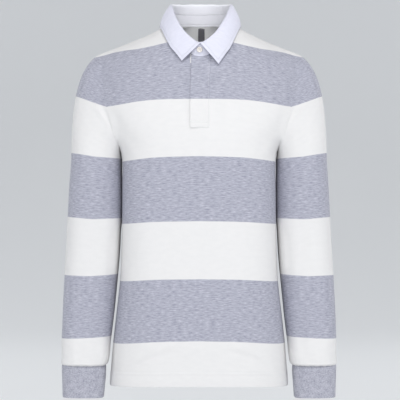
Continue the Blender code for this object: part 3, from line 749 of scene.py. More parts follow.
WHITE = (0.762, 0.754, 0.753)
WHITE_SHADE = (0.747, 0.740, 0.740)
# Painted light: a paler white for the jersey's inner faces near the neck, where shade falls.
NECK_INSIDE_PAINTED_LIGHT = (0.940, 0.940, 0.930)
# Painted light: a paler white for the collar's inner face at the back, where shade falls.
COLLAR_INSIDE_PAINTED_LIGHT = (0.940, 0.940, 0.990)
INWARD_FULL = 0.020  # distance from the centre line at which a face that looks in counts in full


def knit_normal(shader, wales, courses, depth):
    """Fine columns and rows of loops."""
    place = shader.split(shader.cloth(wales, courses))
    column = shader.math("SINE", place[0])
    row = shader.math("SINE", place[1])
    loops = shader.math("ADD", shader.math("ABSOLUTE", column), shader.math("MULTIPLY", row, 0.35))
    return shader.bump(loops, depth, 0.5)


def jersey_material():
    """White jersey with stripes of heather grey, whose fibres make short streaks along the courses, and
    painted light on its inner faces near the neck.
    """
    shader = Shader("striped_jersey", 0.92, 0.12)
    wave = shader.math("SINE", shader.math("MULTIPLY", shader.mark("stripe"), math.pi))
    grey = shader.math("ADD", shader.math("MULTIPLY", wave, 45.0), 0.5, clamp=True)
    streaks = shader.noise(95.0, 520.0, detail=3.0, roughness=0.65)
    clouds = shader.noise(55.0, 120.0, detail=2.0, roughness=0.5)
    heather = shader.ramp(
        shader.blend(streaks, clouds, 0.88),
        (0.30, (0.245, 0.250, 0.320)),
        (0.43, (0.350, 0.355, 0.425)),
        (0.54, (0.420, 0.424, 0.497)),
        (0.70, (0.570, 0.573, 0.640)),
    )
    white = shader.ramp(clouds, (0.35, WHITE_SHADE), (0.65, WHITE))
    # Painted light: inner faces near the neck get a paler white that stands in for light the inside does not
    # get.
    white = shader.mix(shader.painted_light_mask(axis=2, low=-0.160, reach=0.040), white, NECK_INSIDE_PAINTED_LIGHT)
    colour = shader.mix(grey, white, heather)
    return shader.finish(colour, knit_normal(shader, wales=2900.0, courses=6200.0, depth=0.00012))


def rib_material():
    """Mottled heather grey of the cuffs, in a very fine rib."""
    shader = Shader("heather_rib", 0.94, 0.12)
    mottle = shader.noise(330.0, 420.0, detail=3.0, roughness=0.60)
    clouds = shader.noise(90.0, 110.0, detail=2.0, roughness=0.5)
    colour = shader.ramp(
        shader.blend(mottle, clouds, 0.7),
        (0.32, (0.250, 0.254, 0.318)),
        (0.47, (0.385, 0.388, 0.455)),
        (0.68, (0.560, 0.562, 0.622)),
    )
    return shader.finish(colour, knit_normal(shader, wales=1900.0, courses=5200.0, depth=0.00030))


def twill_material():
    """Close white cotton weave of the collar, pressed in along its stitch lines, with painted shade in those
    lines and painted light on its inside at the back.
    """
    shader = Shader("collar_twill", 0.85, 0.06)
    place = shader.split(shader.cloth(5200.0, 5200.0))
    slant = shader.math("SINE", shader.math("ADD", place[0], place[1]))
    cloud = shader.noise(260.0, 60.0, detail=3.0, roughness=0.55)
    colour = shader.ramp(cloud, (0.35, (0.714, 0.716, 0.820)), (0.65, (0.744, 0.746, 0.848)))
    weave = shader.bump(slant, 0.00010, 0.5)
    line = shader.line_at(shader.mark("edge"), COLLAR_STITCH_INSET, width=0.0011)
    # Painted shade: a faint blue-grey darkening along the stitch lines stands in for shade in their pressed
    # groove.
    colour = shader.mix(shader.math("MULTIPLY", line, 0.10), colour, (0.45, 0.47, 0.56))
    # Painted light: the collar's inner face at the back gets a paler white in place of the light it lacks.
    colour = shader.mix(shader.painted_light_mask(axis=1, low=-0.020, reach=0.030), colour, COLLAR_INSIDE_PAINTED_LIGHT)
    pressed = shader.math("MULTIPLY", line, -1.0)
    return shader.finish(colour, shader.bump(pressed, 0.0005, 1.0, weave))


def plain_material(name, dark, light, roughness, across=400.0, along=400.0):
    shader = Shader(name, roughness)
    grain = shader.noise(across, along, detail=3.0, roughness=0.6)
    colour = shader.ramp(grain, (0.35, dark), (0.65, light))
    return shader.finish(colour, shader.bump(grain, 0.0001, 0.6))


def button_material():
    """Cream moulded plastic with faint clouds, like shell."""
    shader = Shader("cream_button", 0.30)
    where = shader.add("ShaderNodeTexCoord").outputs["Object"]
    inputs = (("Vector", where), ("Scale", 420.0), ("Detail", 3.0))
    clouds = shader.add("ShaderNodeTexNoise", inputs).outputs["Fac"]
    colour = shader.ramp(clouds, (0.35, (0.720, 0.665, 0.610)), (0.65, (0.830, 0.790, 0.745)))
    shader.principled.inputs["Coat Weight"].default_value = 0.3
    shader.principled.inputs["Coat Roughness"].default_value = 0.2
    return shader.finish(colour)


JERSEY = jersey_material()
RIB = rib_material()
TWILL = twill_material()
LABEL = plain_material("label_tape", (0.120, 0.118, 0.132), (0.190, 0.187, 0.205), 0.6, 900.0, 2200.0)
THREAD = plain_material("white_thread", (0.66, 0.665, 0.685), (0.76, 0.765, 0.78), 0.7)
BUTTON = button_material()


def column_turns():
    """Shares of the way from the inner to the outer edge of a half row, close together at the seam."""
    return np.concatenate((np.linspace(0.0, 0.982, SIDE_COLUMNS), (0.988, 0.9925, 0.9960, 0.9985, 1.0)))


def half_row(v, inner, outer, turns):
    half, square = body_section(v)[4:6]
    first = math.asin(min(inner / half, 1.0) ** (square / 2))
    last = math.asin(min(outer / half, 1.0) ** (square / 2))
    x = half * np.sin(first + turns * (last - first)) ** (2 / square)
    return body_point(x, np.full(len(x), v))


def panel_rows(front):
    """Stations of a panel's rows from hem to shoulder, the neckline's distance at each, and its first row."""
    at_neck = neck_station(np.linspace(0.0 if front else 180.0, RIDGE_ANGLE, NECK_ROWS))
    hem, way = (STATIONS[0], 1) if front else (STATIONS[-1], -1)
    hem_rows = hem + way * HEM_ROWS
    middle = placket_bottom() if front else STATIONS[BACK_ARMPIT]
    below, above = FRONT_ROWS if front else BACK_ROWS
    lower = np.linspace(hem_rows[-1], middle, below)
    upper = np.linspace(middle, at_neck[0], above)
    seam = at_neck[-1] - way * RIDGE_ROWS
    neck = at_neck[1:-1]
    neck = np.concatenate((neck[np.abs(neck - at_neck[-1]) > 0.0030], seam, at_neck[-1:]))
    v = np.concatenate((hem_rows, lower[1:], upper[1:], neck))
    y_mid = body_section(v)[:, 1]
    turn = np.degrees(np.arccos(np.clip((NECK_CENTRE_Y - y_mid) / NECK_HALF_DEPTH, -1, 1)))
    first = len(v) - len(neck) - 1
    inner = np.where(np.arange(len(v)) >= first, neck_x(turn), 0.0)
    return v, inner, first


def panel_grid(front):
    """Grid of a body panel, its stations and the quads of its opening and neck that are left out."""
    v, neck_inner, neck_row = panel_rows(front)
    outer = armhole_x(v)
    pit = STATIONS[FRONT_ARMPIT] if front else STATIONS[BACK_ARMPIT]
    below = v <= pit if front else v >= pit
    outer[below] = body_section(v[below])[:, 4]
    strip = WINDOW_HALF if front else BACK_STRIP_HALF
    turns = column_turns()
    lines = []
    for station, neck, to_x in zip(v, neck_inner, outer):
        from_x = max(neck, strip)
        right = half_row(station, from_x, to_x, turns)
        x = np.linspace(-from_x, from_x, STRIP_COLUMNS + 2)[1:-1]
        middle = body_point(x, np.full(len(x), station))
        lines.append(np.concatenate((right[::-1] * (-1, 1, 1), middle, right)))
    grid = np.array(lines)
    open_row = int(np.argmin(np.abs(v - placket_bottom()))) if front else neck_row
    closed_off = np.zeros((len(v) - 1, grid.shape[1] - 1), bool)
    closed_off[open_row:, len(turns) - 1 : len(turns) + STRIP_COLUMNS] = True
    return grid, v, closed_off


def armhole_line(front):
    """The +X armhole seam on one panel, from armpit to shoulder: stations, points, shares of its length."""
    v = np.linspace(STATIONS[FRONT_ARMPIT if front else BACK_ARMPIT], STATIONS[RIDGE], FINE_STEPS)
    points = body_point(armhole_x(v), v)
    return v, points, running_share(points)


def cap_direction(angle):
    """The way in which the +X sleeve leaves its armhole, by the angle round the arm."""
    tilt = CAP_TILT_TOP + (CAP_TILT_PIT - CAP_TILT_TOP) * (1 - np.cos(angle)) / 2
    return np.stack((np.cos(tilt), 0 * tilt, -np.sin(tilt)), axis=-1)


def armhole_fillet(front):
    """How far the seam of the +X armhole is lifted into a soft valley, from the armpit to the shoulder."""
    v, points, share = armhole_line(front)
    leave = cap_direction(np.pi * (1 - share) if front else np.pi * (1 + share))
    run = unit(np.gradient(points, axis=0))
    body = body_normal(np.minimum(points[:, 0], body_section(v)[:, 4] - 0.001), v)
    sleeve_side = unit(np.cross(run, leave)) * (-1 if front else 1)
    middle = unit(body + sleeve_side)
    cosine = np.clip((body * middle).sum(axis=1), 0.3, 1)
    slope = np.sqrt(1 - cosine**2) / cosine * np.sign((leave * body).sum(axis=1))
    low, high = FILLET_HEIGHTS
    fade = smooth_step((points[:, 2] - low) / (high - low))
    return share, v, middle * (FILLET * np.clip(slope, *FILLET_SLOPES) * fade)[:, None]


def body_relief(points, front, seam, shoulder, hem):
    """How far the body's cloth stands out, from its distances to the side seam, the shoulder and the hem."""
    table = FRONT_CREASES if front else BACK_CREASES
    out = crease_heights(points[..., 0], points[..., 2], table) + unevenness(points)
    out *= (1 - bump_of(seam, SEAM_CALM)) * (1 - bump_of(shoulder, SEAM_CALM))
    armhole = np.clip((points[..., 2] - ARMHOLE[0, 0]) / 0.015, 0, 1)
    depth = SEAM_DEPTH + (ARMHOLE_SEAM_DEPTH - SEAM_DEPTH) * armhole
    out -= depth * bump_of(seam, SEAM_WIDTH) + SEAM_DEPTH * bump_of(shoulder, SEAM_WIDTH)
    out += HEM_RISE / (1 + np.exp((hem - HEM_DEPTH) / 0.0010))
    out -= STITCH_VALLEY * sum(bump_of(hem - up, EDGE_ROLL) for up in HEM_STITCHES)
    out -= HEM_ROLL_DEPTH * bump_of(hem, EDGE_ROLL)
    return out


def body_panel(front):
    grid, v, closed_off = panel_grid(front)
    lengths = running_lengths(grid, 1)
    seam = np.minimum(lengths, lengths[:, -1:] - lengths)
    hem = np.abs(v - v[0])[:, None] + 0 * seam
    shoulder = np.abs(v - v[-1])[:, None] + 0 * seam
    out = body_relief(grid, front, seam, shoulder, hem)
    normals = grid_normals(grid, False, not front)
    dressed = grid + out[..., None] * normals
    _, at, lift = armhole_fillet(front)
    order = np.argsort(at)
    lift = points_between(v, at[order], lift[order], left=0, right=0)
    mirror = np.ones_like(grid)
    mirror[..., 0] = np.sign(grid[..., 0])
    dressed += lift[:, None] * mirror * np.exp(-seam / FILLET)[..., None]
    marks = (("stripe", stripe_place(grid, BODY_STRIPE_X, BODY_STRIPES)),)
    heavy = np.where(hem[:, 0] < HEM_DEPTH, 1.0, JERSEY_WALL / HEM_WALL)
    name = "front_cloth" if front else "back_cloth"
    down = np.repeat((v if front else -v)[:, None], grid.shape[1], axis=1)
    return shell(name, dressed, JERSEY, HEM_WALL, flip=not front, cloth=cloth_map(grid, False, down),
                 marks=marks, closed_off=closed_off, heavy=heavy)


def armhole_edge(front):
    """Evenly spaced points of the +X armhole seam on one panel, from the armpit to the shoulder."""
    _, points, share = armhole_line(front)
    return points_between(np.linspace(0, 1, 49), share, points)


def oval(section, angle):
    """A level ring round the arm: outermost at angle 0, front at a quarter turn."""
    z, centre_x, half_x, centre_y, half_y = section
    inner = np.interp(-z, INNER_SQUARENESS[:, 0], INNER_SQUARENESS[:, 1])
    power = 2 / np.where(np.cos(angle) < 0, inner, SLEEVE_SQUARENESS)
    x = centre_x + half_x * np.sign(np.cos(angle)) * np.abs(np.cos(angle)) ** power
    y = centre_y - half_y * np.sign(np.sin(angle)) * np.abs(np.sin(angle)) ** power
    return np.stack((x, y, np.full_like(x, z)), axis=-1)


def sleeve_grid():
    """The +X sleeve from the armhole to the cuff seam, and each column's angle round the arm."""
    front = armhole_edge(True)[::-1]
    back = armhole_edge(False)
    ring = np.concatenate((front[:-1], back[:-1]))
    angle = np.linspace(0, 2 * np.pi, len(ring) + 1)[:-1]
    upper_arm = oval(SLEEVE_SECTIONS[0], angle)
    reach = CAP_FULLNESS * np.linalg.norm(upper_arm - ring, axis=1, keepdims=True)
    leave = reach * cap_direction(angle)
    arrive = reach * np.array((0.0, 0.0, -1.0))
    cap_shares = np.concatenate(((0.0, 0.004, 0.010, 0.018), np.linspace(0.03, 1, 38)))
    rows = [hermite(t, ring, leave, upper_arm, arrive) for t in cap_shares]
    bends = (SLEEVE_SECTIONS[0, 0], SLEEVE_ROLL_TOP, SLEEVE_ROLL_END, SLEEVE_SECTIONS[-1, 0])
    heights = np.concatenate([
        np.linspace(top, bottom, count)[1:] for top, bottom, count in zip(bends, bends[1:], SLEEVE_ROWS)
    ])
    sections = smooth_curve(-SLEEVE_SECTIONS[:, 0], SLEEVE_SECTIONS, -heights)
    rows += [oval(section, angle) for section in sections]
    return np.array(rows), angle


def sleeve(side):
    grid, angle = sleeve_grid()
    normals = grid_normals(grid, True, False)
    shift = (0.0, 0.0) if side > 0 else OTHER_SLEEVE_SHIFT
    x = grid[..., 0] + shift[0]
    z = grid[..., 2] + shift[1]
    reach = running_lengths(grid, 0)
    fade = 1 - bump_of(reach, 0.006)
    ahead = np.clip(0.5 + 1.6 * np.sin(angle), 0, 1)[None, :]
    out = ahead * crease_heights(x, z, SLEEVE_FRONT_CREASES)
    out += (1 - ahead) * crease_heights(x, z, SLEEVE_BACK_CREASES)
    out = (out + unevenness(grid * (side, 1, 1))) * fade
    out -= ARMHOLE_SEAM_DEPTH * bump_of(reach, SEAM_WIDTH)
    under = np.abs(angle - np.pi)[None, :] * UPPER_ARM_RADIUS
    out -= SEAM_DEPTH * bump_of(under, SEAM_WIDTH) * fade
    gather = np.clip((-z - GATHER_TOP) / GATHER_HEIGHT, 0, 1)
    out += GATHER_DEPTH * gather * np.sin(23 * angle + 1.5 * np.sin(3 * angle))[None, :]
    dressed = grid + out[..., None] * normals
    middle = len(angle) // 2
    for front, half in ((True, slice(0, middle + 1)), (False, slice(middle, None))):
        share, _, lift = armhole_fillet(front)
        turn = 1 - angle[half] / np.pi if front else angle[half] / np.pi - 1
        lift = points_between(turn, share, lift)
        if not front:
            lift[0] = 0
        dressed[:, half] += lift[None] * np.exp(-reach[:, half] / FILLET)[..., None]
    low = np.clip((-grid[..., 2] - CUFF_TILT_TOP) / CUFF_TILT_HEIGHT, 0, 1) ** 2
    dressed[..., 2] -= CUFF_TILT * low * np.sin(angle)[None, :]
    marks = (("stripe", stripe_place(grid, SLEEVE_STRIPE_X, SLEEVE_STRIPES)),)
    slope = np.interp(-z, SLANT_DEPTHS, SLANT_SLOPES)
    cloth = cloth_map(grid, True, -(z - slope * (grid[..., 0] - 0.21)))
    name = "sleeve_left_cloth" if side > 0 else "sleeve_right_cloth"
    return shell(name, dressed * (side, 1, 1), JERSEY, JERSEY_WALL, ring=True, flip=side < 0, cloth=cloth,
                 marks=marks)


def cuff(side):
    angle = np.linspace(0, 2 * np.pi, 145)[:-1]
    low, high = CUFF_SECTIONS[-1, 0], CUFF_SECTIONS[0, 0]
    heights = np.concatenate((np.linspace(high, low + 0.0030, 30), low + np.array((0.0018, 0.0008, 0.0))))
    sections = smooth_curve(-CUFF_SECTIONS[:, 0], CUFF_SECTIONS, -heights)
    grid = np.array([oval(section, angle) for section in sections])
    normals = grid_normals(grid, True, False)
    out = 1.5 * unevenness(grid * (side, 1, 1))
    below = (heights - low)[:, None]
    out -= CUFF_ROLL_DEPTH * bump_of(below, EDGE_ROLL)
    under = np.abs(angle - np.pi)[None, :] * CUFF_RADIUS
    out -= SEAM_DEPTH * bump_of(under, SEAM_WIDTH)
    dressed = grid + out[..., None] * normals
    dressed[..., 2] -= CUFF_TILT * below / (high - low) * np.sin(angle)[None, :]
    name = "cuff_left_cloth" if side > 0 else "cuff_right_cloth"
    return shell(name, dressed * (side, 1, 1), RIB, CUFF_WALL, ring=True, flip=side < 0,
                 cloth=cloth_map(grid, True))


def placket_line(x, v):
    """Points of the front under the placket, with the front's own creases, and their normals."""
    points = body_point(x, v)
    normals = body_normal(x, v)
    out = crease_heights(points[..., 0], points[..., 2], FRONT_CREASES) + unevenness(points)
    return points + out[..., None] * normals, normals


def placket_strip(name, from_x, to_x, columns, foot, rise, stripes=True):
    """A strip from its foot to the neckline, raised off the front by rise(x, height above the foot)."""
    x = np.linspace(from_x, to_x, columns)
    tops = neck_station(np.degrees(np.arcsin(np.abs(x) / NECK_HALF_WIDTH))) - TOP_TRIM
    share = np.concatenate(((0.0, 0.003, 0.007), np.linspace(0.013, 1.0, 110)))
    v = foot + (tops - foot)[None, :] * share[:, None]
    across = np.repeat(x[None, :], len(share), axis=0)
    points, normals = placket_line(across, v)
    grid = points + rise(across, v - foot)[..., None] * normals
    place = stripe_place(grid, BODY_STRIPE_X, BODY_STRIPES)
    if not stripes:
        place = np.full_like(place, PLAIN_WHITE)
    made = shell(name, grid, JERSEY, JERSEY_WALL, cloth=cloth_map(grid, False), marks=(("stripe", place),),
                 bevel=0.0003)
    return made, grid


def flap_rise(x, up):
    """The flap stands off the front at its free edge and lies down to it at its sewn one."""
    free = x + FLAP_HALF
    sewn = FLAP_SEWN - x
    out = FLAP_FREE_RISE - FLAP_FALL * np.clip(free / (FLAP_HALF + FLAP_SEWN), 0, 1)
    out -= 0.0005 * bump_of(free, 0.0008) + 0.0009 * bump_of(sewn, EDGE_ROLL)
    out -= 0.0008 * np.exp(-up / 0.0030) + 0.0004 * bump_of(up, EDGE_ROLL)
    out -= SEAM_DEPTH * bump_of(up - BOX_HEIGHT, 0.0011)
    return out


def facing_rise(x, up):
    """The facing lies on the front, rolled down at the edge that shows."""
    return FACING_RISE - 0.0006 * bump_of(x + FLAP_HALF + FACING_PROUD, 0.0008)


def underlap_rise(x, up):
    return np.full_like(x, -JERSEY_WALL - UNDERLAP_GAP)


def folded_angle(angle):
    return np.abs((np.asarray(angle, float) + 180.0) % 360.0 - 180.0)


def neck_frame(angle):
    """Points of the neckline at angles from the centre front, and the level directions out of it."""
    v = neck_station(folded_angle(angle))
    points = body_point(neck_x(angle), v)
    turn = np.radians(angle)
    out = np.stack((np.sin(turn) / NECK_HALF_WIDTH, -np.cos(turn) / NECK_HALF_DEPTH, 0 * turn), axis=-1)
    return points, unit(out)


def lap(angle):
    """The stand's two ends pass each other at the centre front, the wearer's left one outside."""
    def near(distance):
        return smooth_step((LAP_REACH - distance) / LAP_BLEND)

    return LAP_OFFSET * (near(angle) - near(360.0 - angle))


def stand_grid():
    angle = np.linspace(STAND_END_LEFT, STAND_END_RIGHT, 196)
    base, out = neck_frame(angle)
    rise, lean = smooth_curve(COLLAR[:, 0], COLLAR[:, 1:3], folded_angle(angle)).T
    past = np.clip(np.maximum(-angle / -STAND_END_LEFT, (angle - 360) / (STAND_END_RIGHT - 360)), 0, 1)
    rise = rise * (1 - STAND_END_DROP * past**2)
    rows = []
    for t in np.linspace(0, 1, 15):
        away = lean * t + lap(angle)
        rows.append(base + out * away[:, None] + np.outer(rise * t, (0, 0, 1)))
    return np.array(rows)


def leaf_grid():
    """The leaf from the stand's top up over its fold and down to its outer edge, on its outer face."""
    angle = np.linspace(LEAF_START, 360 - LEAF_START, 201)
    share = (angle - LEAF_START) / (360 - 2 * LEAF_START)
    base, out = neck_frame(angle)
    up = np.array((0, 0, 1.0))
    stand_rise, stand_lean, fold_rise, fold_lean = smooth_curve(
        COLLAR[:, 0], COLLAR[:, 1:], folded_angle(angle)
    ).T
    inner = -LEAF_WALL / 2 + lap(angle)
    rows = []
    for t in np.linspace(0, 1, 7):
        height = (1 - t) * (stand_rise + LEAF_GAP) + t * (fold_rise - FOLD_RADIUS)
        height = np.maximum(height, stand_rise + LEAF_GAP + 0.0004 * t)
        away = (1 - t) * stand_lean + t * fold_lean + inner
        rows.append(base + out * away[:, None] + np.outer(height, up))
    centre = rows[-1] + FOLD_RADIUS * out
    for turn in np.radians(np.arange(20, 160, 20)):
        rows.append(centre + FOLD_RADIUS * (np.sin(turn) * up - np.cos(turn) * out))
    half_share = np.minimum(share, 1 - share)
    foot_x, foot_y, lift, bulge = smooth_curve(LEAF_EDGE[:, 0], LEAF_EDGE[:, 1:], half_share).T
    left = share < 0.5
    v = station_where("y_mid", foot_y, FRONT_NECK - 1, BACK_NECK + 1)
    v = v - LEFT_POINT_DROP * left * np.clip(1 - half_share / LEFT_POINT_SHARE, 0, 1)
    foot_x = np.where(left, foot_x, -foot_x)
    edge = body_point(foot_x, v) + body_normal(foot_x, v) * (lift + LEAF_WALL)[:, None]
    start = rows[-1]
    fall_start = len(rows) - 1
    for t in np.concatenate((np.linspace(0, 0.97, 26)[1:], (0.985, 1.0))):
        rows.append((1 - t) * start + t * edge + 4 * t * (1 - t) * bulge[:, None] * out)
    return np.array(rows), fall_start


def distance_to(points, line):
    """Least distance from each point to a dense line of points."""
    flat = points.reshape(-1, 3)
    nearest = np.full(len(flat), np.inf)
    for place in line:
        nearest = np.minimum(nearest, ((flat - place) ** 2).sum(axis=1))
    return np.sqrt(nearest).reshape(points.shape[:-1])


def resampled(line, pitch):
    """The line's points again, evenly spaced."""
    length = running_lengths(line, 0)
    at = np.linspace(0, length[-1], max(int(round(length[-1] / pitch)), 1) + 1)
    return points_between(at, length, line)


THREAD_LIFT = 0.15  # radii that the middle of a stitch lies off the cloth
THREAD_DIVE = 1.6  # radii by which its ends lie deeper
STITCH_SIDES = 6
# Rings of a stitch: share of its length, share of its radius.
STITCH_SHAPE = ((0.0, 0.35), (0.15, 0.85), (0.5, 1.0), (0.85, 0.85), (1.0, 0.35))


class Stitches:
    """Many short raised threads gathered into one mesh."""

    def __init__(self):
        self.points = []
        self.faces = []

    def thread(self, start, end, normal, radius):
        axis = unit(end - start)
        side = unit(np.cross(axis, normal))
        lift = np.cross(side, axis)
        first = len(self.points)
        for share, wide in STITCH_SHAPE:
            sink = normal * radius * (THREAD_LIFT - THREAD_DIVE * (2 * share - 1) ** 4)
            for k in range(STITCH_SIDES):
                turn = 2 * math.pi * k / STITCH_SIDES
                ring = (math.cos(turn) * side + math.sin(turn) * lift) * radius * wide
                self.points.append(start + share * (end - start) + ring + sink)
        for i in range(len(STITCH_SHAPE) - 1):
            for k in range(STITCH_SIDES):
                a = first + i * STITCH_SIDES + k
                b = first + i * STITCH_SIDES + (k + 1) % STITCH_SIDES
                self.faces.append((a, b, b + STITCH_SIDES, a + STITCH_SIDES))
        last = first + (len(STITCH_SHAPE) - 1) * STITCH_SIDES
        self.faces.append(tuple(first + k for k in reversed(range(STITCH_SIDES))))
        self.faces.append(tuple(last + k for k in range(STITCH_SIDES)))

    def run(self, line, surface, pitch=STITCH_PITCH, radius=STITCH_RADIUS):
        """Stitches along a line laid on a surface, which is a BVH tree of already settled points."""
        line = resampled(line, pitch)
        for start, end in zip(line[:-1], line[1:]):
            ends = (start, start + STITCH_LENGTH * (end - start))
            found = [surface.find_nearest(Vector(place)) for place in ends]
            if found[0][0] is None or (found[1][0] - found[0][0]).length < 0.2 * pitch:
                continue
            normal = unit(np.array(found[0][1]) + np.array(found[1][1]))
            self.thread(np.array(found[0][0]), np.array(found[1][0]), normal, radius)

    def made(self, name):
        obj = mesh_object(name, [tuple(point) for point in self.points], self.faces, THREAD)
        obj.data.shade_smooth()
        return obj


def surface_of(obj):
    return BVHTree.FromPolygons([tuple(v.co) for v in obj.data.vertices],
                                [tuple(p.vertices) for p in obj.data.polygons])


def placed(piece, slot, *nodes):
    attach(piece, "root")
    if nodes:
        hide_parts(*nodes)
    return piece


front_cloth = body_panel(True)
back_cloth = body_panel(False)
sleeves = {side: sleeve(side) for side in (1, -1)}
cuffs = {side: cuff(side) for side in (1, -1)}

FOOT = placket_bottom()
flap, flap_points = placket_strip(
    "placket_flap_cloth", -FLAP_HALF, FLAP_SEWN, 39, FOOT - FLAP_EXTRA, flap_rise,
)
facing, _ = placket_strip(
    "placket_facing_cloth", -FLAP_HALF - FACING_PROUD, -FACING_INNER, 9,
    station_where("z_mid", FACING_BOTTOM, FRONT_ARMPIT, FRONT_NECK), facing_rise, stripes=False,
)
underlap, _ = placket_strip(
    "placket_underlap_cloth", -UNDERLAP_HALF, UNDERLAP_HALF, 17, FOOT - UNDERLAP_EXTRA, underlap_rise,
)

stand = stand_grid()
stand_edge = running_lengths(stand, 0) + COLLAR_STITCH_INSET - STAND_STITCH_UP
stand_cloth = shell("collar_stand_cloth", stand, TWILL, STAND_WALL, cloth=cloth_map(stand, False),
                    marks=(("edge", stand_edge),), bevel=COLLAR_BEVEL, offset=0.0)

leaf, leaf_fall = leaf_grid()
leaf_rim = np.concatenate((leaf[leaf_fall:, 0], leaf[-1, 1:-1], leaf[leaf_fall:, -1][::-1]))
leaf_edge = distance_to(leaf, resampled(leaf_rim, 0.0010))
leaf_cloth = shell("collar_leaf_cloth", leaf, TWILL, LEAF_WALL, flip=True, cloth=cloth_map(leaf, False),
                   marks=(("edge", leaf_edge),), bevel=COLLAR_BEVEL)


def label_cloth():
    """The label hangs down the inside of the back from its neck edge."""
    x = np.linspace(-LABEL_HALF_WIDTH, LABEL_HALF_WIDTH, 14) + LABEL_CENTRE_X
    top = neck_station(180.0) + LABEL_TOP_GAP
    v = np.linspace(top, top + LABEL_LENGTH, 30)
    across, along = np.meshgrid(x, v)
    points = body_point(across, along)
    inward = -body_normal(across, along)
    share = (along - top) / LABEL_LENGTH
    waves = 0.0004 * np.sin(9 * share + 60 * across)
    off = JERSEY_WALL + LABEL_GAP + LABEL_CURL * share**2 + waves
    grid = points + off[..., None] * inward
    return shell("neck_label_cloth", grid, LABEL, LABEL_WALL, cloth=cloth_map(grid, False), bevel=0.0001)


label = label_cloth()


def ring_points(profile, sides):
    """Rings of points about Z, one for each (radius, height) pair."""
    turns = 2 * np.pi * np.arange(sides) / sides
    return [(radius * math.cos(a), radius * math.sin(a), height) for radius, height in profile for a in turns]


def band_faces(first, bands, sides):
    """Quads from each ring of points to the next, the first ring starting at the point first."""
    faces = []
    for low in range(first, first + bands * sides, sides):
        for k in range(sides):
            after = (k + 1) % sides
            faces.append((low + k, low + sides + k, low + sides + after, low + after))
    return faces


def turned(name, profile, sides):
    """A mesh turned about Z from (radius, height) pairs that start and end on the axis."""
    rings = ring_points(profile[1:-1], sides)
    points = [(0.0, 0.0, profile[0][1]), *rings, (0.0, 0.0, profile[-1][1])]
    last = len(rings) + 1 - sides
    faces = [(0, 1 + k, 1 + (k + 1) % sides) for k in range(sides)]
    faces += band_faces(1, len(profile) - 3, sides)
    faces += [(len(points) - 1, last + (k + 1) % sides, last + k) for k in range(sides)]
    return mesh_object(name, points, faces)


def stand_front(angle):
    """Points on the stand's outer face at the button's height, and the level directions out of it."""
    base, out = neck_frame(angle)
    away = COLLAR[0, 2] * BUTTON_HEIGHT / COLLAR[0, 1] + LAP_OFFSET + STAND_WALL / 2
    return base + out * away + (0, 0, BUTTON_HEIGHT), out


def collar_button():
    """A four-hole button with a rounded rim and a dished middle, sewn to the outer end of the stand."""
    r, h = BUTTON_RADIUS, BUTTON_THICKNESS
    shares = (
        (0.0, 0.64), (0.30, 0.64), (0.56, 0.66), (0.66, 0.74), (0.74, 0.92), (0.84, 1.00), (0.93, 0.95),
        (0.985, 0.80), (1.00, 0.58), (0.97, 0.30), (0.88, 0.08), (0.75, 0.0), (0.0, 0.0),
    )
    profile = [(radius * r, height * h) for radius, height in shares]
    body = turned("collar_button_body", profile, 64)
    hole_profile = ((0.0, 1.2 * h), (HOLE_RADIUS, 1.2 * h), (HOLE_RADIUS, -0.2 * h), (0.0, -0.2 * h))
    cutters = []
    for x, y in ((1, 1), (1, -1), (-1, 1), (-1, -1)):
        cutter = turned("button_hole", hole_profile, 20)
        cutter.location = (HOLE_PLACE * x, HOLE_PLACE * y, 0)
        cutters.append(cutter)
        cut = body.modifiers.new("hole", "BOOLEAN")
        cut.operation = "DIFFERENCE"
        cut.solver = "EXACT"
        cut.object = cutter
    bpy.context.view_layer.update()
    applied(body, 40)
    for cutter in cutters:
        bpy.data.objects.remove(cutter)
    body.data.materials.clear()
    body.data.materials.append(BUTTON)
    threads = Stitches()
    for x in (-HOLE_PLACE, HOLE_PLACE):
        for aside in (-STITCH_RADIUS, STITCH_RADIUS):
            start, end = (np.array((x + aside, y, 0.66 * h)) for y in (-0.00150, 0.00150))
            threads.thread(start, end, np.array((0.0, 0.0, 1.0)), 0.00026)
    sewn = threads.made("collar_button_thread")
    face, out = stand_front(np.array((BUTTON_ANGLE,)))
    place = Vector(settle(face[0] + out[0] * BUTTON_GAP))
    lean = math.radians(90) + math.atan(COLLAR[0, 2] / COLLAR[0, 1])
    for obj in (body, sewn):
        obj.location = place
        obj.rotation_euler = (lean, 0, 0)
    bpy.context.view_layer.update()
    for obj in (body, sewn):
        obj.data.transform(obj.matrix_world)
        obj.location = (0, 0, 0)
        obj.rotation_euler = (0, 0, 0)
    return body, sewn


button, button_thread = collar_button()


def hem_stitches():
    """Two rows of stitches round the hem."""
    threads = Stitches()
    for cloth, front in ((front_cloth, True), (back_cloth, False)):
        surface = surface_of(cloth)
        way = 1 if front else -1
        for up in HEM_STITCHES:
            v = (STATIONS[0] if front else STATIONS[-1]) + way * up
            row = half_row(v, 0.0, body_section(v)[4] * 0.9999, np.linspace(0, 1, 120))
            threads.run(np.concatenate((row[::-1] * (-1, 1, 1), row[1:])), surface)
    return threads.made("hem_stitches")


def stitch_place(depth, points):
    """The first place where a line of points is as far in from the leaf's edge as its stitches."""
    reached = np.flatnonzero(depth >= COLLAR_STITCH_INSET)
    if len(reached) == 0 or reached[0] == 0:
        return None
    k = reached[0]
    t = (COLLAR_STITCH_INSET - depth[k - 1]) / (depth[k] - depth[k - 1])
    return (1 - t) * points[k - 1] + t * points[k]


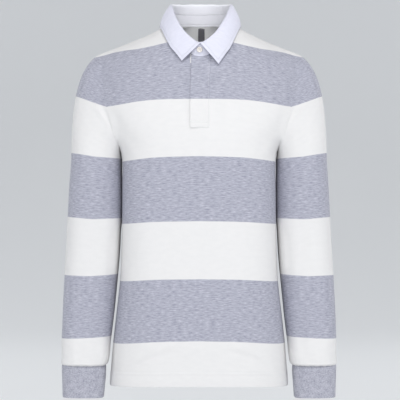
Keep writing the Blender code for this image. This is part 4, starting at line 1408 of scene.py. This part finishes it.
def collar_stitches():
    """Edge stitches along the leaf and down its two points, a fixed way in from its edge."""
    threads = Stitches()
    surface = surface_of(leaf_cloth)
    inside = leaf_edge[leaf_fall:]
    fall = leaf[leaf_fall:]
    columns = leaf.shape[1]
    along = [stitch_place(inside[::-1, j], fall[::-1, j]) for j in range(columns)]
    threads.run(settle(np.array([place for place in along if place is not None])), surface, FINE_PITCH)
    for order in (np.arange(0, 40), np.arange(columns - 1, columns - 41, -1)):
        line = []
        for i in range(3, len(fall)):
            place = stitch_place(inside[i, order], fall[i, order])
            if place is None:
                break
            line.append(place)
        if len(line) > 2:
            threads.run(settle(np.array(line)), surface, FINE_PITCH)
    return threads.made("collar_leaf_stitches")


def stand_stitches():
    """A row of stitches along the foot of the stand, on both of its faces."""
    threads = Stitches()
    surface = surface_of(stand_cloth)
    low = running_lengths(stand, 0)
    columns = stand.shape[1]
    base = np.array([points_between(STAND_STITCH_UP, low[:, j], stand[:, j]) for j in range(columns)])
    out = neck_frame(np.linspace(STAND_END_LEFT, STAND_END_RIGHT, columns))[1]
    for side in (1, -1):
        threads.run(settle(base + side * out * STAND_WALL / 2), surface, FINE_PITCH)
    return threads.made("collar_stand_stitches")


def placket_stitches():
    """One row down the sewn edge, and a box across the foot."""
    threads = Stitches()
    surface = surface_of(flap)
    columns = flap_points.shape[1]
    x = np.linspace(-FLAP_HALF, FLAP_SEWN, columns)
    up = running_lengths(flap_points, 0)

    def at(x_place, height):
        j = int(np.argmin(np.abs(x - x_place)))
        return points_between(height, up[:, j], flap_points[:, j])

    def line(x_places, heights):
        return settle(np.array([at(a, b) for a, b in zip(x_places, heights)]))

    sewn = FLAP_SEWN - SEWN_STITCH_INSET
    free = FLAP_STITCH_INSET - FLAP_HALF
    foot = FLAP_STITCH_INSET
    top = up[-1].min() - 0.002
    threads.run(line([sewn] * 60, np.linspace(foot, top, 60)), surface, FINE_PITCH)
    threads.run(line([free] * 8, np.linspace(foot, BOX_HEIGHT, 8)), surface, FINE_PITCH)
    for height in (foot, BOX_HEIGHT):
        threads.run(line(np.linspace(free, sewn, 30), [height] * 30), surface, FINE_PITCH)
    return threads.made("placket_stitches")


def buttonhole_stitches():
    """The short edge of the buttonhole that shows beside the button."""
    threads = Stitches()
    surface = surface_of(stand_cloth)
    line = settle(stand_front(np.linspace(-8.5, 4.5, 40))[0])
    half = np.array((0, 0, 0.0007))
    for lift in (-0.0009, 0.0009):
        for place in resampled(line + (0, 0, lift), 0.0006):
            found = surface.find_nearest(Vector(place))
            foot, normal = np.array(found[0]), np.array(found[1])
            threads.thread(foot - half, foot + half, normal, STITCH_RADIUS)
    return threads.made("buttonhole_stitches")


def label_stitches():
    threads = Stitches()
    surface = surface_of(label)
    points = np.array([v.co for v in label.data.vertices])
    top = points[points[:, 2] > points[:, 2].max() - 0.003]
    left, right = top[:, 0].min() + 0.0008, top[:, 0].max() - 0.0008
    y, z = top[:, 1].mean(), points[:, 2].max() - 0.0022
    line = np.array([(x, y, z) for x in np.linspace(left, right, 12)])
    threads.run(line, surface, 0.0024, radius=0.00018)
    return threads.made("neck_label_stitches")


hem_threads = hem_stitches()
leaf_threads = collar_stitches()
stand_threads = stand_stitches()
placket_threads = placket_stitches()
buttonhole = buttonhole_stitches()
label_threads = label_stitches()

placed(front_cloth, "jersey", "front")
placed(back_cloth, "jersey", "back")
placed(flap, "jersey", "placket_flap")
placed(facing, "jersey")
placed(underlap, "jersey", "placket_underlap")
placed(stand_cloth, "twill", "collar_stand")
placed(leaf_cloth, "twill", "collar_leaf")
placed(label, "label", "neck_label")
placed(button, "button", "collar_button")
placed(button_thread, "button")
for side, name in ((1, "left"), (-1, "right")):
    placed(sleeves[side], "jersey", "sleeve_" + name)
    placed(cuffs[side], "rib", "cuff_" + name)
for threads, slot in ((hem_threads, "jersey"), (leaf_threads, "twill"), (stand_threads, "twill"),
                      (placket_threads, "jersey"), (buttonhole, "twill"), (label_threads, "label")):
    placed(threads, slot)


FLOOR = -0.90
FLOOR_RADIUS = 4.2
RIM_RADIUS = 2.6
WALL_RADIUS = 6.9
WALL_HEIGHTS = (2.4, 4.6)
FLOOR_COLOUR = (0.60, 0.61, 0.62)
FLOOR_GLOW = (0.93, 0.96, 1.0, 1.0)
FLOOR_GLOW_STRENGTH = 0.26
ROOM_COLOUR = (0.93, 0.95, 1.0, 1.0)
ROOM_STRENGTH = 0.05
CAMERA_PLACE = (0.002, -4.0, -0.344)
SENSOR_WIDTH = 36
LENS = 180
MIDDLE = (0.0, 0.0, -0.35)
# Soft rectangular lights that face the middle of the shirt. Columns: name, place, width and height, power.
LIGHTS = (
    ("key", (1.1, -3.0, 3.9), (1.3, 0.9), 97),
    ("fill", (-0.9, -3.9, 3.2), (1.6, 1.0), 50),
    ("low", (0.0, -4.7, -0.05), (2.4, 0.8), 39),
    ("side_right", (-3.6, -1.6, 0.5), (1.6, 1.6), 18),
    ("side_left", (3.6, -1.6, 0.5), (1.6, 1.6), 18),
    ("behind_right", (-2.6, 3.4, 2.0), (2.2, 1.8), 46),
    ("behind_left", (2.8, 3.2, 1.6), (2.2, 1.8), 38),
)


def backdrop():
    """A pale floor whose rim rises all round into a plain wall."""
    profile = [(radius, FLOOR) for radius in (1.5, 3.0, FLOOR_RADIUS)]
    for turn in np.radians(np.linspace(6, 84, 14)):
        out = RIM_RADIUS * math.sin(turn)
        up = RIM_RADIUS * (1 - math.cos(turn))
        profile.append((FLOOR_RADIUS + out, FLOOR + up))
    profile += [(WALL_RADIUS, height) for height in WALL_HEIGHTS]
    sides = 96
    shader = Shader("pale_floor", 0.9)
    shader.principled.inputs["Emission Color"].default_value = FLOOR_GLOW
    shader.principled.inputs["Emission Strength"].default_value = FLOOR_GLOW_STRENGTH
    faces = [tuple(range(sides)), *band_faces(0, len(profile) - 1, sides)]
    obj = mesh_object("backdrop", ring_points(profile, sides), faces, shader.finish(FLOOR_COLOUR))
    obj.data.shade_smooth()


def soft_light(name, place, size, power):
    data = bpy.data.lights.new(name, "AREA")
    data.shape = "RECTANGLE"
    data.size, data.size_y = size
    data.energy = power
    obj = linked(name, data)
    obj.location = place
    obj.rotation_euler = (Vector(MIDDLE) - Vector(place)).to_track_quat("-Z", "Y").to_euler()


backdrop()
for light in LIGHTS:
    soft_light(*light)

world = bpy.data.worlds.new("soft_room")
world.use_nodes = True
room = world.node_tree.nodes["Background"]
room.inputs["Color"].default_value = ROOM_COLOUR
room.inputs["Strength"].default_value = ROOM_STRENGTH
bpy.context.scene.world = world
bpy.context.scene.view_settings.view_transform = "Standard"
bpy.context.scene.view_settings.look = "None"

camera_data = bpy.data.cameras.new("camera")
camera_data.sensor_width = SENSOR_WIDTH
camera_data.lens = LENS
camera = linked("camera", camera_data)
camera.location = CAMERA_PLACE
camera.rotation_euler = (math.radians(90), 0, 0)
bpy.context.scene.camera = camera
